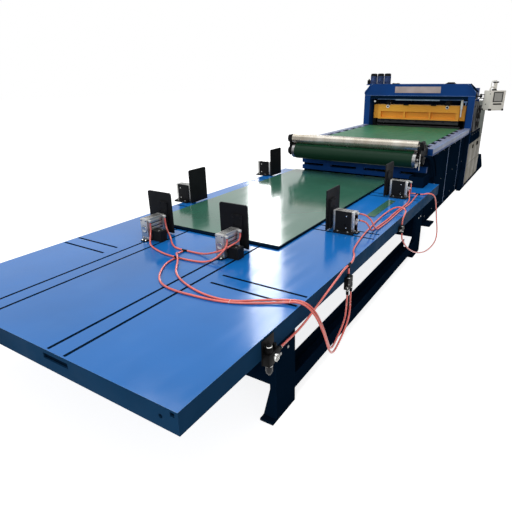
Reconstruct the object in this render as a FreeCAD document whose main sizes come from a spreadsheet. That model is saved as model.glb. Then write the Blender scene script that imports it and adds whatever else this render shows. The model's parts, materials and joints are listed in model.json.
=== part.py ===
import FreeCAD, Part
import Sketcher
import math
import os
import re

# A sheet line: shear with powered outfeed belt and a stacking table with air stops.
# Millimetres. +Y runs from the table to the shear, +X is the operator side, +Z is up.
# The origin is the middle of the shear's sole, on the floor.

SIZES = {
    # Stacking table
    "table_long": 4000, "table_wide": 1914, "table_high": 550, "top_thick": 8, "fascia_deep": 105,
    "fascia_thick": 8, "fascia_lip": 45, "slot_wide": 9, "slot_pitch": 112, "long_slot": 2200,
    "slot_land": 72, "slot_inset": 12, "left_lane": -398, "right_lane": 255, "first_cross": 930,
    "second_cross": 2066, "third_cross": 3262, "notch_wide": 168, "notch_high": 28, "notch_drop": 14,
    "corner_notch": 22, "corner_hole": 10, "corner_hole_set": 88, "leg_deep": 190, "leg_thick": 36,
    "leg_near": 645, "leg_far": 3190, "foot_spread": 78, "foot_long": 225, "foot_thick": 14,
    "cross_beam_low": 187, "cross_beam_thick": 60, "stretcher_low": 80, "stretcher_high": 84,
    "stretcher_wide": 72, "stretcher_wall": 6, "joist_thick": 40, "joist_count": 3,
    # Sheets and tray on the table
    "sheet_wide": 1219, "sheet_long": 2438, "sheet_thick": 4, "sheet_gap": 0.3, "stack_front": 1493,
    "stack_centre": -165, "strip_wide": 72, "strip_long": 580, "strip_front": 2520, "strip_centre": 727,
    "tray_wide": 150, "tray_long": 250, "tray_high": 110, "tray_wall": 4, "tray_side": 107,
    "tray_end": 21,
    # Stop units
    "stop_long": 170, "stop_wide": 66, "stop_high": 152, "stop_base": 10, "cap_long": 26,
    "cap_proud": 2, "rod_radius": 8, "rod_slack": 0.5, "rod_reach": 95, "rod_rise": 38, "rod_gap": 33,
    "rod_end": 5, "plate_thick": 10, "plate_wide": 227, "plate_side": 77, "plate_high": 302,
    "plate_lift": 8, "plate_corner": 16, "pad_thick": 12, "pad_wide": 84, "pad_low": 70,
    "pad_high": 170, "end_face": 1385, "end_bracket_high": 76, "end_bracket_long": 64,
    "end_bracket_wide": 85, "end_bracket_set": 30, "right_set": 383, "far_set": 337, "left_set": 107,
    "web_thick": 10, "web_high": 162, "web_long": 124, "web_start": 26, "flange_wide": 34,
    "flange_thick": 14, "base_long": 150, "stop_one": -460, "stop_three": 215, "stop_four": 2078,
    "stop_five": 3276, "stop_two": 2170, "stop_six": 3552,
    # Belt conveyor
    "rail_long": 2309, "rail_top": 900, "rail_high": 75, "rail_wide": 76, "rail_out": 835,
    "rail_notch": 60, "rail_notch_deep": 14, "rail_notch_pitch": 270, "rail_notch_count": 8,
    "tail_block_in": 745, "tail_block_wide": 30, "tail_block_long": 110, "tail_block_low": 760,
    "tail_relief": 30, "tail_reach": 772, "drum_reach": 258, "drum_overlap": 150, "drum_radius": 82,
    "drum_face": 1470, "belt_wide": 1400, "belt_thick": 3, "belt_slack": 0.5, "belt_gap": 2,
    "tail_inset": 117, "journal_radius": 20, "journal_reach": 790, "pinch_radius": 56, "pinch_gap": 1,
    "pinch_face": 1482, "bearing_slack": 0.05, "bracket_thick": 20, "bearing_radius": 46,
    "hub_radius": 42, "bearing_long": 26, "deck_thick": 8, "deck_gap": 1, "deck_bar_high": 30,
    "deck_bar_count": 4, "front_beam_low": 545, "front_beam_high": 145, "front_beam_thick": 50,
    "window_wide": 340, "window_high": 30, "window_low": 50, "window_pitch": 435, "window_count": 4,
    "panel_out": 784, "panel_thick": 6, "panel_low": 40, "panel_near": 560, "post_wide": 60,
    "post_proud": 6, "first_post": 0.3, "second_post": 0.56, "third_post": 0.93, "belt_leg_back": 75,
    "belt_leg_deep": 212, "belt_leg_wide": 50, "belt_foot_wide": 145, "belt_foot_thick": 16,
    "skid_high": 60, "sweep_back": 526, "sweep_drop": 487, "sweep_end": 340, "deck_inset": 20,
    # Shear
    "body_deep": 1330, "body_half": 850, "column_wide": 94, "column_deep": 443, "column_plate": 28,
    "sole_thick": 25, "crown_low": 1305, "crown_side": 110, "crown_corner": 126, "crown_rise": 110,
    "crown_deep": 300, "crown_plate": 26, "crown_step": 16, "bed_deep": 260, "bed_high": 300,
    "bed_top": 866, "blade_thick": 32, "blade_high": 60, "lower_blade_high": 34, "blade_gap": 5,
    "blade_over": 20, "beam_half": 640, "beam_low": 990, "beam_high": 222, "beam_deep": 130,
    "beam_inset": 95, "beam_floor": 70, "bay_proud": 30, "bay_high": 100, "bay_low": 18,
    "bay_wide": 378, "bay_pitch": 402, "slide_half": 725, "slide_thick": 30, "guide_gap": 5,
    "guide_wide": 56, "guide_wall": 26, "guide_cut": 1, "jack_out": 465, "jack_radius": 42,
    "jack_rod": 20, "jack_slack": 1, "jack_drop": 66, "jack_clear": 6, "exit_thick": 12,
    "exit_drop": 14, "exit_gap": 12, "lamp_half": 340, "lamp_high": 22, "lamp_deep": 26,
    "lamp_inset": 34, "badge_wide": 700, "badge_high": 92, "badge_low": 92, "badge_thick": 3,
    "cover_top": 1258, "cover_low": 690, "cover_thick": 30, "cover_out": 846, "cabinet_low": 60,
    "cabinet_top": 680, "cabinet_deep": 70, "housing_low_top": 820, "housing_slot": 150,
    "housing_top": 1240, "drive_wide": 46, "drive_radius": 62, "drive_shaft": 22, "hub_rise": 300,
    "front_toe": 246, "toe_crest": 60, "rear_toe": 700, "toe_wide": 56, "toe_high": 290,
    "toe_thick": 20, "motor_radius": 48, "motor_high": 136, "motor_pitch": 115, "motor_first": 80,
    "motor_cap": 30, "shelf_thick": 14, "shelf_proud": 15, "motor_cap_radius": 38, "shelf_long": 400,
    "shelf_deep": 150, "shelf_back": 90, "lug_long": 60, "lug_thick": 22, "lug_out": 460,
    # Operator panel
    "panel_wide": 220, "panel_deep": 185, "panel_high": 270, "panel_drop": 188, "panel_turn": 40,
    "panel_pivot": 65, "pivot_reach": 179, "pivot_back": 60, "pivot_radius": 10, "pivot_gap": 5,
    "screen_wide": 140, "screen_high": 124, "screen_sink": 6, "screen_rise": 122, "arm_rise": 50,
    "arm_plate": 12, "arm_foot": 80, "arm_thick": 20, "collar_radius": 20, "collar_high": 28,
    "ear_long": 75, "ear_thick": 10, "knob_radius": 16, "knob_high": 60,
    # Compressed air
    "elbow_wide": 18, "elbow_long": 27, "elbow_high": 20, "elbow_trim": 1, "front_port": 3,
    "port_radius": 9, "port_long": 29, "port_high": 150, "port_low": 100, "elbow_upper": 142,
    "elbow_lower": 90, "elbow_split": 16, "tee_radius": 6.9, "tee_long": 44, "branch_radius": 6.3,
    "hose_radius": 6, "filter_along": 550, "filter_plate": 5, "filter_near": 25, "filter_second": 50,
    "gauge_along": 25, "filter_long": 100, "filter_wide": 38, "filter_low": 412, "filter_high": 66,
    "bowl_radius": 18, "bowl_drop": 40, "bowl_tip": 14, "filter_knob": 17, "filter_knob_high": 38,
    "small_knob": 9, "small_knob_high": 24, "gauge_radius": 19, "gauge_long": 14, "gauge_rise": 34,
    "air_line": 19, "outlet_rise": 36, "inlet_rise": 20, "outlet_long": 31, "valve_wide": 28,
    "valve_long": 76, "valve_port": 21, "silencer_radius": 8, "silencer_long": 14, "silencer_rise": 16,
    "first_valve": 1492, "first_valve_low": 395, "first_valve_high": 75, "first_stem": 33,
    "feed_offset": -20, "out_offset": 27, "back_offset": 30, "link_top": 540, "second_valve": 2600,
    "second_valve_low": 440, "second_valve_high": 42, "second_stem": 18, "second_feed": 8,
    "second_out": 12,
}

# Air hoses: hand-laid points from fitting to fitting, with the table's front edge at HOSE_DATUM
HOSE_DATUM = -7082
HOSES = {
    "hose_stop1_rear": (
        (-409, -5887, 692), (-409, -5887, 646), (-405, -5903, 596), (-387, -5929, 566),
        (-347, -5962, 557), (-275, -5995, 557), (-185, -6022, 557), (-112, -6036, 557),
        (-53, -6036, 557),
    ),
    "hose_stop1_front": (
        (-409, -5746, 692), (-409, -5746, 651), (-394, -5752, 606), (-365, -5764, 576),
        (-329, -5786, 560), (-285, -5826, 557), (-220, -5880, 557), (-155, -5916, 557),
        (-97, -5916, 557),
    ),
    "hose_stop3_front": (
        (-53, -5916, 557), (-5, -5916, 557), (60, -5913, 558), (115, -5915, 568), (160, -5920, 584),
        (200, -5926, 600), (236, -5920, 614), (262, -5897, 627), (273, -5858, 637), (271, -5815, 637),
        (267, -5780, 636), (267, -5758, 647), (266, -5746, 668), (266, -5746, 692),
    ),
    "hose_stop3_rear": (
        (-9, -6036, 557), (45, -6036, 557), (110, -6027, 557), (165, -6014, 557), (212, -5996, 567),
        (245, -5972, 588), (263, -5945, 614), (268, -5914, 632), (267, -5897, 647), (266, -5887, 669),
        (266, -5887, 692),
    ),
    "hose_tee_front": (
        (-75, -5938, 557), (-75, -5969, 557), (-67, -5998, 565), (-48, -6024, 578), (-22, -6046, 585),
        (6, -6068, 580), (34, -6098, 565), (68, -6146, 557), (124, -6212, 557), (205, -6268, 557),
        (315, -6316, 557), (440, -6350, 557), (560, -6355, 557), (655, -6330, 557), (735, -6272, 557),
        (815, -6218, 557), (890, -6194, 564), (952, -6186, 573), (999, -6178, 557), (1031, -6163, 515),
        (1046, -6139, 455), (1052, -6108, 390), (1052, -6073, 322), (1050, -6040, 262),
        (1044, -6000, 212), (1032, -5940, 182), (1018, -5868, 176), (1006, -5790, 182),
        (998, -5718, 200), (990, -5662, 232), (983, -5634, 282), (978, -5617, 325), (978, -5617, 362),
    ),
    "hose_tee_rear": (
        (-31, -6058, 557), (-31, -6112, 557), (0, -6190, 557), (60, -6280, 557), (120, -6342, 557),
        (200, -6385, 557), (310, -6398, 557), (430, -6390, 557), (545, -6380, 557), (655, -6349, 557),
        (748, -6300, 557), (830, -6249, 557), (898, -6214, 563), (955, -6203, 573), (1003, -6196, 556),
        (1038, -6184, 512), (1057, -6162, 450), (1066, -6134, 383), (1069, -6102, 312),
        (1066, -6066, 248), (1060, -6018, 196), (1048, -5950, 164), (1034, -5872, 156),
        (1022, -5792, 160), (1012, -5712, 176), (1003, -5640, 206), (992, -5592, 248),
        (982, -5570, 300), (978, -5560, 335), (978, -5560, 362),
    ),
    "hose_main": (
        (981, -6426, 448), (981, -6372, 448), (975, -6274, 439), (973, -6165, 447), (972, -6062, 468),
        (975, -5955, 498), (978, -5850, 526), (980, -5755, 548), (978, -5680, 562), (978, -5632, 562),
    ),
    "hose_long_run": (
        (978, -5588, 562), (978, -5552, 562), (964, -5498, 574), (943, -5446, 572), (917, -5396, 560),
        (893, -5320, 557), (875, -5211, 557), (856, -5080, 557), (842, -4940, 557), (830, -4790, 557),
        (820, -4640, 557), (814, -4500, 557), (817, -4400, 559), (834, -4325, 571), (868, -4284, 583),
        (910, -4281, 583), (943, -4308, 578), (964, -4356, 579), (975, -4404, 580), (979, -4446, 572),
        (978, -4473, 551), (978, -4490, 526), (978, -4490, 500),
    ),
    "hose_stop4_upper": (
        (880, -3662, 557), (880, -3706, 557), (888, -3785, 557), (896, -3885, 557), (909, -4009, 557),
        (904, -4150, 557), (896, -4290, 557), (899, -4430, 557), (904, -4570, 557), (903, -4700, 557),
        (899, -4810, 557), (898, -4880, 560), (900, -4930, 581), (898, -4966, 616), (890, -4988, 655),
        (868, -5001, 684), (838, -5004, 700), (806, -5004, 700),
    ),
    "hose_stop4_lower": (
        (841, -3822, 640), (841, -3822, 608), (846, -3836, 577), (858, -3866, 560), (872, -3925, 557),
        (884, -4010, 557), (884, -4140, 557), (878, -4280, 557), (879, -4430, 557), (885, -4570, 557),
        (882, -4700, 557), (876, -4820, 557), (874, -4886, 557), (877, -4936, 564), (879, -4970, 580),
        (876, -4992, 607), (862, -5001, 634), (836, -5004, 650), (806, -5004, 650),
    ),
    "hose_stop5_upper": (
        (841, -3790, 692), (841, -3790, 655), (840, -3775, 614), (829, -3758, 583), (811, -3742, 563),
        (790, -3715, 557), (787, -3684, 557), (801, -3656, 557), (827, -3640, 557), (858, -3640, 557),
    ),
    "hose_loop": (
        (902, -3640, 557), (928, -3640, 557), (955, -3641, 569), (984, -3637, 574), (1009, -3622, 568),
        (1026, -3597, 547), (1033, -3562, 510), (1034, -3510, 445), (1034, -3450, 352),
        (1036, -3396, 250), (1044, -3364, 165), (1051, -3366, 98), (1055, -3404, 50), (1057, -3470, 30),
        (1056, -3580, 26), (1052, -3710, 32), (1044, -3860, 54), (1030, -4010, 94), (1014, -4150, 148),
        (1000, -4270, 212), (990, -4365, 276), (983, -4426, 332), (978, -4470, 380), (978, -4470, 422),
    ),
}

doc = FreeCAD.newDocument("SheetLine")
sheet = doc.addObject("Spreadsheet::Sheet", "Sizes")
for line, (word, value) in enumerate(SIZES.items(), start=1):
    sheet.set(f"A{line}", word)
    sheet.set(f"B{line}", str(value))
    sheet.setAlias(f"B{line}", word)
doc.recompute()

# Places along the machine, worked out from the sheet
PORTAL = "(-body_deep / 2)"
BACK = "(body_deep / 2)"
RAIL_NEAR = f"({PORTAL} - rail_long)"
DRUM_Y = f"({RAIL_NEAR} - drum_reach)"
TAIL_Y = f"({PORTAL} - tail_inset)"
TABLE_END = f"({DRUM_Y} + drum_overlap)"
TABLE_FRONT = f"({TABLE_END} - table_long)"
BELT_TOP = "(rail_top - belt_gap)"
DRUM_Z = f"({BELT_TOP} - belt_thick - belt_slack - drum_radius)"
PINCH_Z = f"({BELT_TOP} + pinch_gap + pinch_radius)"
CROWN_TOP = "(crown_low + crown_side + crown_rise)"
SHELF_LOW = f"({CROWN_TOP} - crown_step)"
BEAM_Y = f"({PORTAL} + beam_inset)"
BLADE_BACK = f"({BEAM_Y} + blade_thick)"
ARM_Z = "(crown_low + arm_rise)"
PIVOT_X = "(body_half + panel_pivot)"
PANEL_LOW = f"({ARM_Z} - panel_drop)"
TABLE_SIDE = "(table_wide / 2)"

nodes = {}


def bind(thing, field, formula):
    """Tie a property to a formula in the sheet's words."""
    def named(found):
        word = found.group()
        return "Sizes." + word if word in SIZES else word

    thing.setExpression(field, re.sub(r"[a-z][a-z_]+", named, formula))


def place(thing, spot):
    for axis, formula in zip("xyz", spot):
        bind(thing, f"Placement.Base.{axis}", formula)


def box(name, size, corner):
    solid = doc.addObject("Part::Box", name)
    for field, formula in zip(("Length", "Width", "Height"), size):
        bind(solid, field, formula)
    place(solid, corner)
    return solid


def middle_box(name, size, low):
    """A box centred on the machine's middle plane; low gives its Y and Z corner."""
    return box(name, size, (f"-({size[0]}) / 2", *low))


SKETCH_RING = 500  # sketches start as a ring of corners before their constraints place them
SWEEP_STEPS = 6  # points along the near curve of the conveyor's side panels
HOSE_SHARE = 0.45  # part of the shorter run that an arc takes
CLOSE = 0.001  # lengths this near count as equal
TURNS = {
    "x": FreeCAD.Rotation(FreeCAD.Vector(0, 1, 0), 90),
    "y": FreeCAD.Rotation(FreeCAD.Vector(1, 0, 0), -90),
    "z": FreeCAD.Rotation(),
}


def rod(name, axis, radius, length, start):
    solid = doc.addObject("Part::Cylinder", name)
    solid.Placement = FreeCAD.Placement(FreeCAD.Vector(), TURNS[axis])
    bind(solid, "Radius", radius)
    bind(solid, "Height", length)
    place(solid, start)
    return solid


def fuse(name, parts):
    solid = doc.addObject("Part::MultiFuse", name)
    solid.Shapes = parts
    solid.Refine = True
    return solid


def cut(name, base, tools):
    solid = doc.addObject("Part::Cut", name)
    solid.Base = base
    solid.Tool = tools[0] if len(tools) == 1 else fuse(name + "Tools", tools)
    solid.Refine = True
    return solid


def group(name, parts):
    """Solids of one node that stand apart from each other."""
    whole = doc.addObject("Part::Compound", name)
    whole.Links = parts
    return whole


def mirror(part):
    other = doc.addObject("Part::Mirroring", part.Name + "Left")
    other.Source = part
    other.Normal = FreeCAD.Vector(1, 0, 0)
    return other


def both_sides(name, parts):
    return group(name, parts + [mirror(part) for part in parts])


def node(label, thing):
    thing.Label = label
    nodes[label] = thing
    return thing


def padded(name, plane, outline, depth, spot, backwards=False):
    """A body padded from an outline whose corners are tied to the sheet."""
    body = doc.addObject("PartDesign::Body", name)
    sketch = body.newObject("Sketcher::SketchObject", name + "Outline")
    face = [item for item in body.Origin.OriginFeatures if item.Role == plane][0]
    sketch.AttachmentSupport = [(face, "")]
    sketch.MapMode = "FlatFace"
    count = len(outline)
    ring = []
    for turn in range(count):
        angle = 2 * math.pi * turn / count
        ring.append(FreeCAD.Vector(SKETCH_RING * math.cos(angle), SKETCH_RING * math.sin(angle), 0))
    for turn in range(count):
        sketch.addGeometry(Part.LineSegment(ring[turn], ring[(turn + 1) % count]))
    for turn in range(count):
        sketch.addConstraint(Sketcher.Constraint("Coincident", turn, 2, (turn + 1) % count, 1))
    for turn, corner in enumerate(outline):
        for kind, value, formula in zip(("DistanceX", "DistanceY"), (ring[turn].x, ring[turn].y), corner):
            index = sketch.addConstraint(Sketcher.Constraint(kind, -1, 1, turn, 1, value))
            bind(sketch, f"Constraints[{index}]", formula)
    pad = body.newObject("PartDesign::Pad", name + "Pad")
    pad.Profile = sketch
    bind(pad, "Length", depth)
    pad.Reversed = backwards
    place(body, spot)
    return body


# Stacking table: slotted top on a folded rim, two leg frames and side stretchers
def slot(name, across, wide, along, length):
    return box(name, (wide, length, "top_thick * 3"), (across, along, "table_high - top_thick * 2"))


def table_top():
    slots = []
    for lane in ("left_lane", "right_lane"):
        for sign in "-+":
            across = f"{lane} {sign} slot_pitch / 2 - slot_wide / 2"
            slots.append(slot(f"LongSlot{len(slots)}", across, "slot_wide",
                              f"{TABLE_FRONT} + slot_inset", "long_slot"))
    land = "slot_pitch / 2 + slot_wide / 2 + slot_land"
    left_reach = f"left_lane - ({land}) + {TABLE_SIDE} - slot_inset"
    right_start = f"right_lane + {land}"
    right_reach = f"{TABLE_SIDE} - slot_inset - ({right_start})"
    for row in ("first_cross", "second_cross", "third_cross"):
        for sign in "-+":
            along = f"{TABLE_FRONT} + {row} {sign} slot_pitch / 2 - slot_wide / 2"
            for across, long in ((f"-{TABLE_SIDE} + slot_inset", left_reach), (right_start, right_reach)):
                slots.append(slot(f"CrossSlot{len(slots)}", across, long, along, "slot_wide"))
    plate = middle_box("TopPlate", ("table_wide", "table_long", "top_thick"),
                       (TABLE_FRONT, "table_high - top_thick"))
    return node("table_top", cut("TableTop", plate, slots))


def rim_side():
    web = box("SideWeb", ("fascia_thick", "table_long", "fascia_deep - top_thick"),
              ("table_wide / 2 - fascia_thick", TABLE_FRONT, "table_high - fascia_deep"))
    lip = box("SideLip", ("fascia_lip", "table_long - fascia_thick * 2", "fascia_thick"),
              ("table_wide / 2 - fascia_lip", f"{TABLE_FRONT} + fascia_thick", "table_high - fascia_deep"))
    return fuse("SideRim", [web, lip])


def rim_end(name, along, lip_along):
    length = "table_wide - fascia_thick * 2"
    low = "table_high - fascia_deep"
    web = middle_box(name + "Web", (length, "fascia_thick", "fascia_deep - top_thick"), (along, low))
    lip = middle_box(name + "Lip", ("table_wide - fascia_lip * 2", "fascia_lip", "fascia_thick"),
                     (lip_along, low))
    return fuse(name, [web, lip])


def table_rim():
    side = rim_side()
    front = rim_end("FrontRim", TABLE_FRONT, TABLE_FRONT)
    back = rim_end("BackRim", f"{TABLE_END} - fascia_thick", f"{TABLE_END} - fascia_lip")
    window = box("LaneWindow", ("notch_wide", "fascia_thick * 3", "notch_high"),
                 ("right_lane - notch_wide / 2", f"{TABLE_FRONT} - fascia_thick",
                  "table_high - top_thick - notch_drop - notch_high"))
    corner = box("CornerWindow", ("corner_notch", "fascia_thick * 3", "corner_notch"),
                 ("table_wide / 2 - fascia_thick * 2 - corner_notch", f"{TABLE_FRONT} - fascia_thick",
                  "table_high - top_thick - corner_notch"))
    hole = rod("CornerHole", "y", "corner_hole", "fascia_thick * 3",
               ("table_wide / 2 - corner_hole_set", f"{TABLE_FRONT} - fascia_thick",
                "table_high - fascia_deep / 2"))
    front = cut("FrontRimCut", front, [window, corner, hole])
    node("table_rim", fuse("TableRim", [side, mirror(side), front, back]))


def table_joists():
    joists = []
    bays = "(leg_far - leg_near - leg_deep)"
    for turn in range(int(SIZES["joist_count"])):
        along = f"{TABLE_FRONT} + leg_near + leg_deep + {turn + 1} * {bays} / (joist_count + 1)"
        joists.append(middle_box(f"Joist{turn}", ("table_wide - fascia_thick * 2", "joist_thick",
                                                  "fascia_deep - top_thick - fascia_thick"),
                                 (along, "table_high - fascia_deep + fascia_thick")))
    return joists


def leg(name, along):
    """A wide plate leg whose foot spreads inwards."""
    outline = [
        ("table_wide / 2", "0"),
        ("table_wide / 2", "table_high - fascia_deep"),
        ("table_wide / 2 - leg_thick", "table_high - fascia_deep"),
        ("table_wide / 2 - leg_thick", "cross_beam_low"),
        ("table_wide / 2 - foot_spread", "foot_thick"),
        ("table_wide / 2 - foot_spread", "0"),
    ]
    post = padded(name, "XZ_Plane", outline, "leg_deep", ("0", f"{TABLE_FRONT} + {along}", "0"),
                  backwards=True)
    foot = box(name + "Foot", ("foot_spread", "foot_long", "foot_thick"),
               ("table_wide / 2 - foot_spread", f"{TABLE_FRONT} + {along} - (foot_long - leg_deep)",
                "0"))
    return fuse(name + "Whole", [post, foot])


def table_stand():
    legs = [leg("NearLeg", "leg_near"), leg("FarLeg", "leg_far")]
    node("table_legs", both_sides("TableLegs", legs))
    beams = []
    for name, along in (("NearBeam", "leg_near"), ("FarBeam", "leg_far")):
        beams.append(middle_box(name, ("table_wide - leg_thick * 2", "cross_beam_thick",
                                       "table_high - fascia_deep - cross_beam_low"),
                                (f"{TABLE_FRONT} + {along} + cross_beam_thick / 2", "cross_beam_low")))
    node("table_cross_members", group("CrossMembers", beams + table_joists()))
    span = "leg_far - leg_near - leg_deep"
    start = ("table_wide / 2 - leg_thick - stretcher_wide", f"{TABLE_FRONT} + leg_near + leg_deep",
             "stretcher_low")
    outer = box("StretcherOuter", ("stretcher_wide + leg_thick", span, "stretcher_high"), start)
    inner = box("StretcherInner", ("stretcher_wide + leg_thick - stretcher_wall * 2", span,
                                   "stretcher_high - stretcher_wall"),
                ("table_wide / 2 - leg_thick - stretcher_wide + stretcher_wall",
                 f"{TABLE_FRONT} + leg_near + leg_deep", "stretcher_low + stretcher_wall"))
    node("table_stretchers", both_sides("Stretchers", [cut("Stretcher", outer, [inner])]))


# Sheets: offset blanks lying on the table, and one narrow offcut
def sheets():
    offsets = ((0, 22), (14, 0), (-10, 38), (6, 26))
    layers = []
    for turn, (across, along) in enumerate(offsets):
        level = f"table_high + sheet_gap + {turn} * (sheet_thick + sheet_gap)"
        layers.append(box(f"Blank{turn}", ("sheet_wide", "sheet_long", "sheet_thick"),
                          (f"stack_centre - sheet_wide / 2 + ({across})",
                           f"{TABLE_FRONT} + stack_front + {along}", level)))
    layers.append(box("Offcut", ("strip_wide", "strip_long", "sheet_thick"),
                      ("strip_centre - strip_wide / 2", f"{TABLE_FRONT} + strip_front",
                       "table_high + sheet_gap")))
    node("sheet_blanks", group("SheetBlanks", layers))


def table_tray():
    """An open box at the table's far corner."""
    across = f"{TABLE_SIDE} - tray_side - tray_wide"
    along = f"{TABLE_END} - tray_end - tray_long"
    outer = box("TrayOuter", ("tray_wide", "tray_long", "tray_high"), (across, along, "table_high"))
    inner = box("TrayInner", ("tray_wide - tray_wall * 2", "tray_long - tray_wall * 2", "tray_high"),
                (f"{across} + tray_wall", f"{along} + tray_wall", "table_high + tray_wall"))
    node("table_tray", cut("TableTray", outer, [inner]))


# Stop units: a guided air cylinder on a bracket pushes a tall plate against the sheets
class Unit:
    """Directions of one stop: run points at the sheets, side points at its bracket."""

    def __init__(self, name, axis, way, side, face, centre, tall):
        self.name = name
        self.axis = axis
        self.way = way
        self.side = side
        self.face = face
        self.centre = centre
        self.tall = tall

    def low(self, origin, sign, span):
        """The lower end, in the row's frame, of a span measured along one of the stop's directions."""
        return f"{origin} + ({span[0]})" if sign > 0 else f"{origin} - ({span[1]})"

    def box(self, name, run, across, up):
        """Run is measured from the plate, across from the cylinder's middle, up from the table."""
        run_low = self.low(self.face, self.way, run)
        side_low = self.low(self.centre, self.side, across)
        run_size = f"({run[1]}) - ({run[0]})"
        side_size = f"({across[1]}) - ({across[0]})"
        size = (run_size, side_size) if self.axis == "x" else (side_size, run_size)
        corner = (run_low, side_low) if self.axis == "x" else (side_low, run_low)
        return box(self.name + name, (*size, f"({up[1]}) - ({up[0]})"),
                   (*corner, f"table_high + ({up[0]})"))

    def rod(self, name, radius, run, across, up):
        run_low = self.low(self.face, self.way, run)
        side_at = self.low(self.centre, self.side, (across, across))
        start = (run_low, side_at) if self.axis == "x" else (side_at, run_low)
        return rod(self.name + name, self.axis, radius, f"({run[1]}) - ({run[0]})",
                   (*start, f"table_high + ({up})"))


CYLINDER_BACK = "-rod_gap - stop_long"
STOP_FLOOR = "stop_base"
STOP_TOP = "stop_base + stop_high"


def stop_bracket(unit):
    half = "stop_wide / 2"
    base = unit.box("Base", (CYLINDER_BACK, f"{CYLINDER_BACK} + base_long"), (f"-{half}", half),
                    ("0", "stop_base"))
    if unit.tall:
        start = f"{CYLINDER_BACK} + web_start"
        web = unit.box("Web", (start, f"{start} + web_long"), (half, f"{half} + web_thick"),
                       ("0", "web_high"))
        flange = unit.box("Flange", (CYLINDER_BACK, f"{CYLINDER_BACK} + base_long"),
                          (half, f"{half} + web_thick + flange_wide"), ("0", "flange_thick"))
        return fuse(unit.name + "Bracket", [base, web, flange])
    start = f"{CYLINDER_BACK} + end_bracket_set"
    block = unit.box("Block", (start, f"{start} + end_bracket_long"),
                     (half, f"{half} + end_bracket_wide"), ("0", "end_bracket_high"))
    return fuse(unit.name + "Bracket", [base, block])


def stop_cylinder(unit):
    half = "stop_wide / 2"
    barrel = unit.box("Barrel", (f"{CYLINDER_BACK} + cap_long", "-rod_gap - cap_long"),
                      (f"-{half} + cap_proud", f"{half} - cap_proud"),
                       (STOP_FLOOR, f"{STOP_TOP} - cap_proud"))
    tail = unit.box("TailCap", (CYLINDER_BACK, f"{CYLINDER_BACK} + cap_long"), (f"-{half}", half),
                    (STOP_FLOOR, STOP_TOP))
    nose = unit.box("NoseCap", ("-rod_gap - cap_long", "-rod_gap"), (f"-{half}", half),
                    (STOP_FLOOR, STOP_TOP))
    bores = []
    for turn, sign in enumerate("-+"):
        bores.append(unit.rod(f"Bore{turn}", "rod_radius + rod_slack", ("-rod_gap - rod_reach", "0"), "0",
                              f"stop_base + stop_high / 2 {sign} rod_rise"))
    return cut(unit.name + "Cylinder", fuse(unit.name + "Body", [barrel, tail, nose]), bores)


def rounded_top(unit, flat):
    """Round the plate's two top corners: the edges that run through its thickness."""
    doc.recompute()
    top = flat.Shape.BoundBox.ZMax
    corners = []
    for number, edge in enumerate(flat.Shape.Edges, start=1):
        along = edge.BoundBox.XLength if unit.axis == "x" else edge.BoundBox.YLength
        through = math.isclose(along, float(sheet.get("plate_thick")), abs_tol=CLOSE)
        if through and math.isclose(edge.BoundBox.ZMin, top, abs_tol=CLOSE):
            corners.append((number, float(sheet.get("plate_corner")), float(sheet.get("plate_corner"))))
    rounded = doc.addObject("Part::Fillet", unit.name + "PlateRounded")
    rounded.Base = flat
    rounded.Edges = corners
    return rounded


def stop_plate(unit):
    flat = unit.box("Plate", ("0", "plate_thick"), ("plate_side - plate_wide", "plate_side"),
                    ("plate_lift", "plate_lift + plate_high"))
    flat = rounded_top(unit, flat)
    pad = unit.box("Pad", ("-pad_thick", "0"), ("-pad_wide / 2", "pad_wide / 2"),
                   ("pad_low", "pad_low + pad_high"))
    foot = unit.box("PadFoot", ("-pad_thick", "0"), ("-stop_wide / 2", "stop_wide / 2"),
                    ("stop_base", "pad_low"))
    rods = []
    for turn, sign in enumerate("-+"):
        rods.append(unit.rod(f"Rod{turn}", "rod_radius", ("-rod_gap - rod_reach + rod_end", "0"), "0",
                             f"stop_base + stop_high / 2 {sign} rod_rise"))
    return fuse(unit.name + "Moving", [flat, pad, foot, *rods])


def along_table(word):
    return f"({TABLE_FRONT} + {word})"


UNITS = (
    Unit("StopOne", "y", 1, 1, along_table("end_face"), "stop_one", False),
    Unit("StopTwo", "x", 1, -1, f"-({TABLE_SIDE} - left_set)", along_table("stop_two"), True),
    Unit("StopThree", "y", 1, 1, along_table("end_face"), "stop_three", False),
    Unit("StopFour", "x", -1, -1, f"({TABLE_SIDE} - right_set)", along_table("stop_four"), True),
    Unit("StopFive", "x", -1, -1, f"({TABLE_SIDE} - far_set)", along_table("stop_five"), True),
    Unit("StopSix", "x", 1, -1, f"-({TABLE_SIDE} - left_set)", along_table("stop_six"), True),
)


def stops():
    node("stop_brackets", group("StopBrackets", [stop_bracket(unit) for unit in UNITS]))
    node("stop_cylinders", group("StopCylinders", [stop_cylinder(unit) for unit in UNITS]))
    for number, unit in enumerate(UNITS, start=1):
        node(f"stop_plate_{number}", stop_plate(unit))


# Belt conveyor: notched rails, drums, belt loop and the pinch roller over the front drum
def belt_loop():
    """The belt as one closed loop round both drums."""
    names = ("Outer", "Inner")
    loops = []
    for name, radius in zip(names, ("drum_radius + belt_slack + belt_thick", "drum_radius + belt_slack")):
        parts = []
        for end, along in (("Front", DRUM_Y), ("Tail", TAIL_Y)):
            parts.append(rod(f"Belt{name}{end}", "x", radius, "belt_wide",
                             ("-belt_wide / 2", along, DRUM_Z)))
        parts.append(middle_box(f"Belt{name}Run", ("belt_wide", f"{TAIL_Y} - {DRUM_Y}", f"({radius}) * 2"),
                                (DRUM_Y, f"{DRUM_Z} - ({radius})")))
        loops.append(fuse(f"Belt{name}", parts))
    return node("belt", cut("Belt", loops[0], [loops[1]]))


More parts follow.
